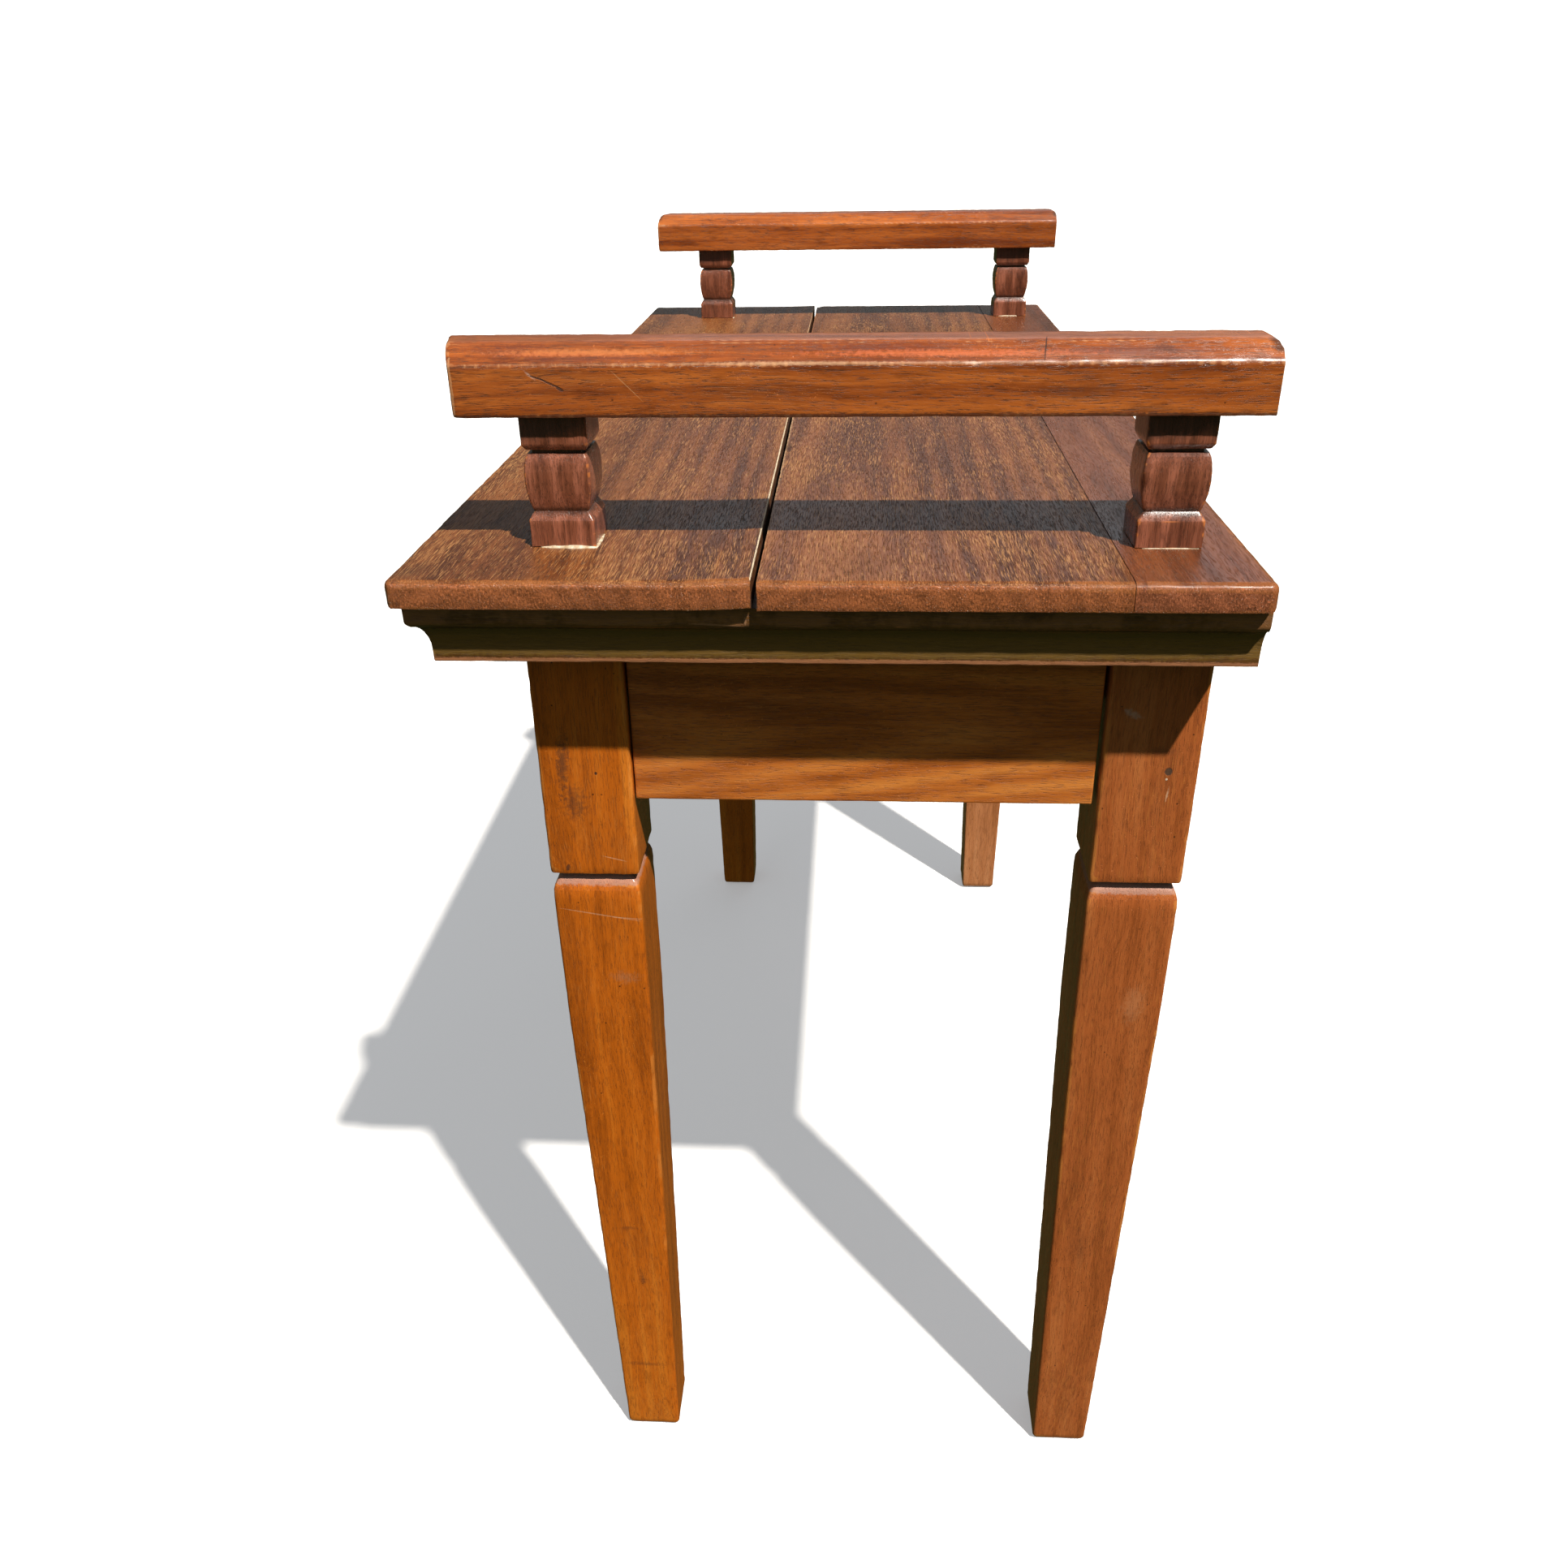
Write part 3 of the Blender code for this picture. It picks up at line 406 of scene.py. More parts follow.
    if arris:
        edge = add(tree, "ShaderNodeAttribute", attribute_name="arris").outputs["Fac"]
        ragged = cloud(tree, stretched(tree, place, (170, 170, 170)), 4, 0.7)
        broad = cloud(tree, stretched(tree, place, (24, 24, 24), (6, 1, 3)), 2)
        reach = window(tree, broad, 0.3, 0.75, 0.3 * wear_width, 1.5 * wear_width)
        bare = calc(tree, "DIVIDE", calc(tree, "SUBTRACT", reach, edge), wear_width)
        bare = calc(tree, "ADD", bare, calc(tree, "MULTIPLY", calc(tree, "SUBTRACT", ragged, 0.5), raggedness))
        bare = window(tree, bare, 0.1, 0.75, 0.0, wear)
        colour = blended(tree, bare, colour, worn)
        rough = calc(tree, "ADD", rough, calc(tree, "MULTIPLY", bare, 0.05))
        # painted shade: darkens the colour towards inner corners, where shade falls, together with gathered
        # dirt
        hollow = add(tree, "ShaderNodeAttribute", attribute_name="hollow").outputs["Fac"]
        hollow = calc(tree, "ADD", hollow, calc(tree, "MULTIPLY", calc(tree, "SUBTRACT", ragged, 0.5), 0.5))
        colour = blended(tree, window(tree, hollow, 0.42, 0.02, 0.0, 0.75), colour, (0.022, 0.010, 0.006))

    # each scar is a real mark or a painted patch of light or shade, blended into the colour
    for at, size, turned, shade, strength, depth, broken in scars_and_painted_light:
        mask = calc(tree, "MULTIPLY", scar_and_light_mask(tree, place, at, size, turned, broken), strength)
        colour = blended(tree, mask, colour, shade)
        rough = calc(tree, "ADD", rough, calc(tree, "MULTIPLY", mask, 0.25))
        height = calc(tree, "ADD", height, calc(tree, "MULTIPLY", mask, depth))

    tree.links.new(colour, shader.inputs["Base Color"])
    tree.links.new(window(tree, rough, 0.12, 0.85, 0.12, 0.85), shader.inputs["Roughness"])
    if end_gloss:
        tree.links.new(window(tree, end, 0.0, 1.0, coat, coat + end_gloss * 4), shader.inputs["Coat Weight"])
    else:
        shader.inputs["Coat Weight"].default_value = coat
    shader.inputs["Coat Roughness"].default_value = 0.22
    shader.inputs["IOR"].default_value = 1.46
    bump = add(tree, "ShaderNodeBump", {"Height": height, "Strength": 0.55 * relief, "Distance": 0.0006})
    tree.links.new(bump.outputs[0], shader.inputs["Normal"])
    return made


# %% [markdown]
# The colours are those of one old table: brown and dull on the boards, redder on
# the strip along the back, orange and glossier on the rails, warm orange-brown on
# the legs and aprons, nearly black-brown on the moulding, and bare pale wood inside.

# %% Looks of the timbers
TOP_WORN = (0.40, 0.135, 0.034)
LOOKS = {
    "boards": dict(dark=(0.086, 0.025, 0.007), mid=(0.172, 0.052, 0.013), light=(0.260, 0.086, 0.022),
                   worn=TOP_WORN, figure=0.5, ring=0.013, pores=0.5,
                   pore_colour=(0.040, 0.016, 0.007), stains=0.5, scratches=0.2, wear=0.45,
                   wear_width=0.10, gloss=0.38, coat=0.0, blotch=0.30, contrast=0.34,
                   flecks=0.90, crowd=0.04, fleck_colour=(0.44, 0.205, 0.070), end_mid=(0.33, 0.105, 0.036),
                   end_gloss=0.13, relief=1.5),
    "strip": dict(dark=(0.090, 0.026, 0.009), mid=(0.185, 0.053, 0.017), light=(0.26, 0.086, 0.028),
                  worn=TOP_WORN, figure=0.25, ring=0.014, pores=0.35, stains=0.3, scratches=0.15, wear=0.4,
                  wear_width=0.09, gloss=0.32, coat=0.1, blotch=0.25, flecks=0.35, crowd=-0.04,
                  fleck_colour=(0.34, 0.16, 0.07), end_mid=(0.30, 0.094, 0.040), end_gloss=0.15,
                  relief=1.3),
    "rail": dict(dark=(0.16, 0.032, 0.007), mid=(0.36, 0.086, 0.014), light=(0.54, 0.150, 0.026),
                 worn=(0.66, 0.29, 0.11), figure=0.35, ring=0.008, pores=0.75, stains=0.7, scratches=0.35,
                 wear=0.45, wear_width=0.07, raggedness=0.7, gloss=0.33, coat=0.45, blotch=0.42,
                 contrast=0.32, flecks=0.3, fleck_colour=(0.60, 0.20, 0.05), relief=0.75),
    "post": dict(dark=(0.075, 0.020, 0.010), mid=(0.215, 0.068, 0.034), light=(0.40, 0.140, 0.080),
                 worn=(0.60, 0.19, 0.045), figure=0.15, ring=0.008, pores=0.35, stains=0.4, scratches=0.2,
                 wear=0.75, wear_width=0.05, raggedness=0.7, gloss=0.34, coat=0.50, blotch=0.45, contrast=0.30,
                 flecks=0.25, fleck_colour=(0.38, 0.13, 0.06), relief=1.2),
    "leg": dict(dark=(0.34, 0.075, 0.004), mid=(0.55, 0.128, 0.007), light=(0.68, 0.200, 0.018),
                worn=(0.72, 0.27, 0.05), figure=0.22, ring=0.010, pores=0.45, pore_colour=(0.16, 0.036, 0.006),
                stains=0.9, scratches=0.3, wear=0.4, wear_width=0.05, gloss=0.40, coat=0.3, blotch=0.24,
                contrast=0.40, flecks=0.25, fleck_colour=(0.70, 0.26, 0.05)),
    "apron": dict(dark=(0.33, 0.080, 0.010), mid=(0.54, 0.155, 0.025), light=(0.68, 0.235, 0.045),
                  worn=(0.66, 0.27, 0.07), figure=0.6, ring=0.009, lean=0.5, pores=0.5,
                  pore_colour=(0.16, 0.040, 0.010), stains=0.5, scratches=0.3, wear=0.3, wear_width=0.05,
                  gloss=0.40, coat=0.3, blotch=0.24, contrast=0.40, flecks=0.25,
                   fleck_colour=(0.70, 0.27, 0.06)),
    "moulding": dict(dark=(0.085, 0.034, 0.007), mid=(0.15, 0.062, 0.014), light=(0.22, 0.100, 0.028),
                     worn=(0.40, 0.18, 0.07), figure=0.3, pores=0.5, stains=0.4, wear=0.35, wear_width=0.06,
                     gloss=0.42, coat=0.3, blotch=0.3, scratches=0.15),
    "inner": dict(dark=(0.33, 0.19, 0.085), mid=(0.52, 0.33, 0.17), light=(0.66, 0.46, 0.26),
                  worn=(0.66, 0.46, 0.26), figure=0.5, ring=0.006, pores=0.3, pore_colour=(0.20, 0.11, 0.05),
                  stains=0.3, scratches=0.2, gloss=0.68, coat=0.0, blotch=0.25, arris=False),
}
print("looks", sorted(LOOKS))

# %% [markdown]
# ## Refining a piece
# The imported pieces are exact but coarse. A copy is merged and its flat faces are
# joined up, then it is sliced into small quads, closer together beside the edges.
# On that net every point can learn how far it is from an outer arris, and can be
# pushed in a little where the real timber is worn. Points only ever move inwards,
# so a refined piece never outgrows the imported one.

# %% Copy, slice and measure
def copied(node):
    bm = bmesh.new()
    bm.from_mesh(nodes[node].data)
    bmesh.ops.remove_doubles(bm, verts=bm.verts, dist=1e-5)
    bmesh.ops.dissolve_limit(bm, angle_limit=math.radians(0.6), verts=bm.verts, edges=bm.edges)
    return bm


def edge_tree(bm, outer):
    """A search tree of points along every outer edge, or with outer=False every inner corner."""
    found = []
    for edge in bm.edges:
        if len(edge.link_faces) != 2 or edge.calc_face_angle(0) < math.radians(11):
            continue
        if edge.is_convex == outer:
            a, b = edge.verts[0].co, edge.verts[1].co
            count = max(1, math.ceil((b - a).length / 0.002))
            found += [a.lerp(b, k / count) for k in range(count + 1)]
    if not found:
        found = [Vector((9, 9, 9))]
    tree = kdtree.KDTree(len(found))
    for k, point in enumerate(found):
        tree.insert(point, k)
    tree.balance()
    return tree


def steps_between(low, high, step, margins):
    count = max(1, round((high - low) / step))
    places = {round(low + (high - low) * k / count, 5) for k in range(1, count)}
    for m in margins:
        places |= {round(low + m, 5), round(high - m, 5)}
    return sorted(p for p in places if low + 1e-4 < p < high - 1e-4)


def sliced(bm, steps, margins):
    low = Vector([min(v.co[a] for v in bm.verts) for a in range(3)])
    high = Vector([max(v.co[a] for v in bm.verts) for a in range(3)])
    for a in range(3):
        for at in steps_between(low[a], high[a], steps[a], margins[a]):
            point = Vector((0, 0, 0))
            point[a] = at
            normal = Vector((0, 0, 0))
            normal[a] = 1
            bmesh.ops.bisect_plane(bm, geom=bm.verts[:] + bm.edges[:] + bm.faces[:], dist=1e-6,
                                   plane_co=point, plane_no=normal)


# %% [markdown]
# Wear has two parts: a faint wave over every face, as left by a hand plane and a
# century of cloths, and deeper loss right on the arrises, in patches.

# %% Wear
def worn_down(bm, tree, seed, wave, loss, reach=0.0035):
    bm.normal_update()
    shift = Vector((seed * 1.7, seed * 0.9, seed * 2.3))
    moves = []
    for v in bm.verts:
        distance = tree.find(v.co)[2]
        ripple = 0.5 + 0.5 * noise.noise(v.co * 28 + shift)
        push = wave * ripple * min(1.0, distance / 0.006)
        if distance < reach:
            bite = max(0.0, noise.noise(v.co * 95 + shift) * 0.7 + noise.noise(v.co * 260 + shift) * 0.5 + 0.15)
            push += loss * bite * (1 - distance / reach)
        moves.append(v.normal * -push)
    for v, move in zip(bm.verts, moves):
        v.co += move


def dented(bm, at, size, depth, direction):
    """Presses a smooth hollow: size is its reach along X, Y and Z."""
    for v in bm.verts:
        part = sum(((v.co[a] - at[a]) / size[a]) ** 2 for a in range(3))
        if part < 1:
            v.co += Vector(direction) * depth * (1 - part) ** 2


def finished(bm, name, trees, material, body, node, smooth=32):
    for word, tree in trees.items():
        layer = bm.verts.layers.float.new(word)
        for v in bm.verts:
            v[layer] = min(1.0, tree.find(v.co)[2] / 0.010)
    bmesh.ops.triangulate(bm, faces=[f for f in bm.faces if len(f.verts) > 4])
    mesh = bpy.data.meshes.new(name)
    bm.to_mesh(mesh)
    bm.free()
    for extra in ("custom_normal", "UVMap"):
        if extra in mesh.attributes:
            mesh.attributes.remove(mesh.attributes[extra])
    for face in mesh.polygons:
        face.use_smooth = True
    mesh.set_sharp_from_angle(angle=math.radians(smooth))
    mesh.materials.clear()
    mesh.materials.append(material)
    piece = bpy.data.objects.new(name, mesh)
    bpy.context.scene.collection.objects.link(piece)
    if node:
        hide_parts(node)
    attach(piece, body)
    return piece


# %% [markdown]
# One recipe then serves every visible piece. It differs in how fine the net is,
# how worn the piece is, and which dents and scars are its own.

# %% The recipe
def seed_of(node):
    return (sum((k + 1) * ord(letter) for k, letter in enumerate(node)) % 97) / 7.0


def refined(node, look, axis, steps, margins=((), (), ()), wave=0.00012, loss=0.0004, dents=(), scars_and_painted_light=(),
            smooth=32, **changes):
    low, high = span(node)
    settings = {**LOOKS[look], **changes}
    material = wood(node + "_finish", axis, (low + high) / 2, seed_of(node), scars_and_painted_light=scars_and_painted_light, **settings)
    bm = copied(node)
    trees = {"arris": edge_tree(bm, True), "hollow": edge_tree(bm, False)}
    sliced(bm, steps, margins)
    worn_down(bm, trees["arris"], seed_of(node), wave, loss)
    for at, size, depth, direction in dents:
        dented(bm, at, size, depth, direction)
    piece = finished(bm, node + "_show", trees, material, body_of[node], node, smooth)
    print(node, len(piece.data.polygons), "faces")
    return piece


# %% [markdown]
# ## The top
# Three boards lie side by side. The joint between the front and middle boards has
# opened, and pale raw wood shows on the front board's joint edge; near the camera end
# it is painted lighter still, a painted sunlit highlight, and both joint faces are painted
# dark below the top as painted shadow inside the gap. The joint of the narrow back strip
# is still tight and shows as a thin dark line. The ends show end grain, and their
# rounded upper arris is worn to orange.

# %% Boards
RAW = (0.62, 0.42, 0.24)
# painted highlight: raw wood colour brightened where the sun lights the joint edge
RAW_WOOD_PAINTED_SUNLIT = (0.80, 0.66, 0.46)
STAIN = (0.030, 0.014, 0.008)
seam_y = front_high.y
board_scars_and_painted_light = [
    # painted shadow: the front board's joint face is painted dark inside the opened gap; the next mark is a
    # painted sunlit highlight on its raw edge
    ((0, seam_y + 0.0002, TOP - 0.012), (0.6, 0.0012, 0.0120), (0, 0, 0), (0.075, 0.034, 0.017), 0.9, 0.0, 0.5),
    ((0.30, seam_y + 0.0002, TOP + 0.0016), (0.4, 0.0012, 0.0014), (0, 0, 0), RAW_WOOD_PAINTED_SUNLIT, 0.9, 0.3, 0.7),
    ((-0.2, seam_y + 0.0002, TOP + 0.0010), (0.4, 0.0012, 0.0010), (0, 0, 0), RAW, 0.8, 0.3, 1.2),
    ((HALF_L - 0.018, FRONT + 0.012, TOP), (0.020, 0.012, 0.01), (0, 0, 0.4), STAIN, 0.45, 0.0, 1.6),
    ((0.20, -0.16, TOP), (0.05, 0.012, 0.01), (0, 0, 0), STAIN, 0.25, 0.0, 1.6),
    ((-0.10, -0.20, TOP), (0.09, 0.010, 0.01), (0, 0, 0), STAIN, 0.30, 0.0, 1.6),
]
refined("front_top_board", "boards", "x", (0.0045, 0.006, 0.006), ((0.0052,), (0.0052, 0.002), ()),
        wave=0.00018, loss=0.0006, scars_and_painted_light=board_scars_and_painted_light)
middle_scars_and_painted_light = [
    # painted shadow: the middle board's joint face is painted dark inside the opened gap
    ((0, top_low.y, TOP - 0.010), (0.6, 0.0010, 0.0090), (0, 0, 0), (0.060, 0.028, 0.014), 0.9, 0.0, 0.5),
    ((0.15, top_low.y, TOP), (0.35, 0.0016, 0.003), (0, 0, 0), (0.60, 0.40, 0.22), 0.60, 0.1, 2.4),
    ((0.2150, top_low.y + 0.002, TOP), (0.014, 0.0035, 0.003), (0, 0, 0), STAIN, 0.75, 0.0, 2.2),
    ((-0.1, top_high.y, TOP), (0.7, 0.0006, 0.002), (0, 0, 0), STAIN, 0.8, -0.5, 0.6),
    ((HALF_L - 0.03, 0.02, TOP), (0.03, 0.03, 0.01), (0, 0, 0.3), STAIN, 0.22, 0.0, 1.8),
]
refined("middle_top_board", "boards", "x", (0.0045, 0.006, 0.006), ((0.0052,), (0.0006, 0.002, 0.004), ()),
        wave=0.00018, loss=0.0006, scars_and_painted_light=middle_scars_and_painted_light,
        dents=[((-HALF_L, top_low.y, TOP), (0.016, 0.006, 0.012), 0.004, (0.7, 0.7, -0.2))])
refined("back_top_board", "strip", "x", (0.0045, 0.006, 0.006), ((0.0052,), (0.0052, 0.0006), ()),
        wave=0.00010, loss=0.0005)

# %% [markdown]
# ## Moulding, aprons and legs
# The coved moulding under the overhang is dark with old polish and dirt. Its cove is
# tinted olive as a painted reflection of grass below, its bottom lip is painted paler as a
# painted highlight where the sun grazes under the overhang, and a painted sunlit line runs
# along the right-hand fillet. The end apron shows a figure like a cathedral arch,
# because it was sawn flat from the log. The legs are cut with a groove and a
# rounded shoulder, and their arrises and feet are knocked.

# %% Moulding
# painted light: the lip colour is a painted highlight, the cove colour a painted olive reflection of grass, the
# streak colour painted sunlight
PAINTED_LIP_SUNLIGHT = (0.55, 0.22, 0.095)
PAINTED_GRASS_REFLECTION = (0.22, 0.130, 0.020)
PAINTED_SUN_STREAK = (0.34, 0.17, 0.08)
for side, sx in (("left", -1), ("right", 1)):
    node = f"{side}_end_moulding"
    low, high = span(node)
    painted_moulding_light = [((sx * (HALF_L - 0.02), 0, low.z), (0.030, 0.5, 0.0032), (0, 0, 0), PAINTED_LIP_SUNLIGHT, 0.85, 0.0, 0.7),
           ((sx * (HALF_L - 0.01), 0, low.z + 0.013), (0.03, 0.5, 0.0100), (0, 0, 0), PAINTED_GRASS_REFLECTION, 0.55, 0.0, 0.8)]
    # painted sunlight: a lit line on the fillet's lower edge and a lit tick where sun comes through the board
    # seam
    if side == "right":
        edge_x = HALF_L - 0.0062
        painted_moulding_light += [((edge_x, -0.056, 0.7362), (0.004, 0.0150, 0.0006), (0.05, 0, 0), PAINTED_SUN_STREAK, 0.8, 0.2, 1.0),
                ((edge_x, -0.0413, 0.7385), (0.004, 0.0008, 0.0024), (0, 0, 0), PAINTED_SUN_STREAK, 0.8, 0.2, 0.8)]
    refined(node, "moulding", "y", (0.02, 0.006, 0.02), wave=0.00008, loss=0.0004, scars_and_painted_light=painted_moulding_light, smooth=40)
low, high = span("front_moulding")
# painted highlight on the lip and painted grass reflection in the cove, as on the end mouldings
painted_moulding_light = [((0, FRONT + 0.02, low.z), (0.6, 0.030, 0.0032), (0, 0, 0), PAINTED_LIP_SUNLIGHT, 0.85, 0.0, 0.7),
       ((0, FRONT + 0.01, low.z + 0.013), (0.6, 0.03, 0.0100), (0, 0, 0), PAINTED_GRASS_REFLECTION, 0.55, 0.0, 0.8)]
refined("front_moulding", "moulding", "x", (0.008, 0.02, 0.02), wave=0.00008, loss=0.0004, scars_and_painted_light=painted_moulding_light, smooth=40)

# %% Aprons
for node in ("left_end_apron", "right_end_apron"):
    refined(node, "apron", "y", (0.02, 0.007, 0.007), ((), (0.0015,), (0.0015,)), pith=(0.035, 0.012))
refined("back_apron", "apron", "x", (0.009, 0.02, 0.009), ((0.0015,), (), (0.0015,)), pith=(0.04, 0.02))
for node in ("front_upper_rail", "front_lower_rail"):
    refined(node, "apron", "x", (0.009, 0.02, 0.007), ((0.0015,), (), (0.0015,)), pith=(0.05, 0.03))
for node in ("front_left_panel", "front_right_panel"):
    refined(node, "apron", "x", (0.007, 0.02, 0.007), ((0.0010,), (), (0.0010,)), pith=(0.04, 0.02))

# %% Legs
near_x = span("front_right_leg")[1].x
PALE = (0.78, 0.56, 0.36)
front_leg_scars = [
    ((near_x, -0.145, 0.5178), (0.004, 0.028, 0.0005), (0.17, 0, 0), PALE, 0.24, -0.3, 0.9),
    ((near_x, -0.127, 0.5155), (0.004, 0.010, 0.0004), (0.08, 0, 0), PALE, 0.24, -0.3, 0.9),
    ((near_x, -0.133, 0.468), (0.004, 0.012, 0.006), (0, 0, 0), (0.40, 0.20, 0.10), 0.35, 0.0, 2.6),
    ((near_x, -0.133, 0.5605), (0.004, 0.008, 0.0004), (0.25, 0, 0), PALE, 0.28, -0.3, 0.8),
    ((near_x, -0.1631, 0.5534), (0.004, 0.0012, 0.0025), (0.3, 0, 0), STAIN, 0.7, -0.3, 0.8),
    ((near_x, -0.160, 0.628), (0.004, 0.005, 0.024), (0.1, 0, 0), STAIN, 0.65, 0.0, 2.6),
    ((near_x, -0.155, 0.600), (0.004, 0.010, 0.014), (0, 0, 0), STAIN, 0.50, 0.0, 2.8),
    ((near_x, -0.1398, 0.6209), (0.004, 0.0009, 0.0010), (0, 0, 0), STAIN, 0.9, -0.3, 0.5),
    ((near_x - 0.005, -0.148, 0.233), (0.004, 0.010, 0.003), (0, 0, 0), STAIN, 0.35, 0.0, 1.8),
    ((near_x - 0.006, -0.141, 0.177), (0.004, 0.003, 0.008), (0, 0, 0), STAIN, 0.50, 0.0, 2.0),
    ((near_x - 0.007, -0.146, 0.078), (0.004, 0.022, 0.003), (0, 0, 0), STAIN, 0.40, 0.0, 2.0),
]
back_leg_scars = [
    ((near_x, 0.2028, 0.6266), (0.004, 0.0023, 0.0027), (0, 0, 0), (0.06, 0.035, 0.02), 0.9, -0.5, 0.4),
    ((near_x, 0.2022, 0.6215), (0.004, 0.0007, 0.0008), (0, 0, 0), (0.80, 0.66, 0.50), 0.9, 0.3, 0.6),
    ((near_x, 0.2038, 0.6110), (0.004, 0.0008, 0.0060), (0.1, 0, 0), PALE, 0.45, 0.0, 1.6),
    ((near_x, 0.1776, 0.6640), (0.004, 0.0070, 0.0028), (0.5, 0, 0), (0.50, 0.42, 0.36), 0.40, 0.0, 2.4),
    ((near_x, 0.196, 0.640), (0.004, 0.012, 0.004), (0, 0, 0), STAIN, 0.25, 0.0, 1.8),
    ((near_x, 0.201, 0.455), (0.004, 0.009, 0.020), (0, 0, 0), (0.60, 0.30, 0.14), 0.25, 0.0, 1.9),
    ((near_x - 0.005, 0.188, 0.230), (0.004, 0.012, 0.030), (0, 0, 0), STAIN, 0.25, 0.0, 1.8),
]
leg_scars = {"front_right_leg": front_leg_scars, "back_right_leg": back_leg_scars}
redder = dict(dark=(0.25, 0.062, 0.013), mid=(0.41, 0.108, 0.026), light=(0.52, 0.165, 0.046))
# painted light: a paler copy of the leg colours, so the far leg looks sunlit
painted_sunlit_paler = dict(dark=(0.35, 0.120, 0.038), mid=(0.54, 0.205, 0.080), light=(0.66, 0.29, 0.125))
BLOOM = (0.40, 0.25, 0.20)


def bloom_of(node):
    """The shoulder under the groove has gone milky, as old polish does where water stood."""
    low, high = span(node)
    at = ((low.x + high.x) / 2, (low.y + high.y) / 2, 0.5428)
    return [(at, (0.06, 0.06, 0.0042), (0, 0, 0), BLOOM, 0.58, 0.0, 1.0)]


# the far leg takes the paler copy as painted light
leg_colours = {"back_right_leg": redder, "back_left_leg": painted_sunlit_paler}
for row in ("front", "back"):
    for side in ("left", "right"):
        node = f"{row}_{side}_leg"
        refined(node, "leg", "z", (0.0095, 0.0095, 0.006), wave=0.00015, loss=0.0006,
                scars_and_painted_light=[*leg_scars.get(node, ()), *bloom_of(node)], pith=(0.05, 0.05), smooth=38,
                **leg_colours.get(node, {}))

# %% [markdown]
# ## Posts and gallery rails
# Four short posts carry a thick half-rounded rail across each end. The rails were
# handled for years: bright lines run along their arrises, partly wear and partly a
# painted highlight, and the near one has a gouge with a dark crack in it. The upper
# block of each post is painted dark as the rail's shadow. Old white glue was smeared
# round the posts' feet.

# %% Posts
# painted shadow colour: the rail's shadow on the posts' upper blocks
RAIL_SHADOW_ON_POSTS = (0.026, 0.009, 0.005)
post_span = {}
for row in ("front", "back"):
    for side in ("left", "right"):
        node = f"{row}_{side}_post"
        low, high = span(node)
        post_span[node] = (low, high)
        chips = []
        if node == "back_right_post":
            chips = [((high.x, low.y, TOP + 0.034), (0.005, 0.005, 0.007), 0.0016, (-0.7, 0.7, 0))]
        # painted shadow: each post's upper block is painted near-black as the rail's shadow
        refined(node, "post", "z", (0.004, 0.004, 0.0025), wave=0.00010, loss=0.0005, dents=chips,
                scars_and_painted_light=[((low.x, low.y, high.z), (0.06, 0.06, 0.0165), (0, 0, 0), RAIL_SHADOW_ON_POSTS, 0.8, 0.0, 0.3)],
                pith=(0.02, 0.03), smooth=30)

# %% Gallery rails
rail_low, rail_high = span("right_gallery_rail")
face = rail_high.x
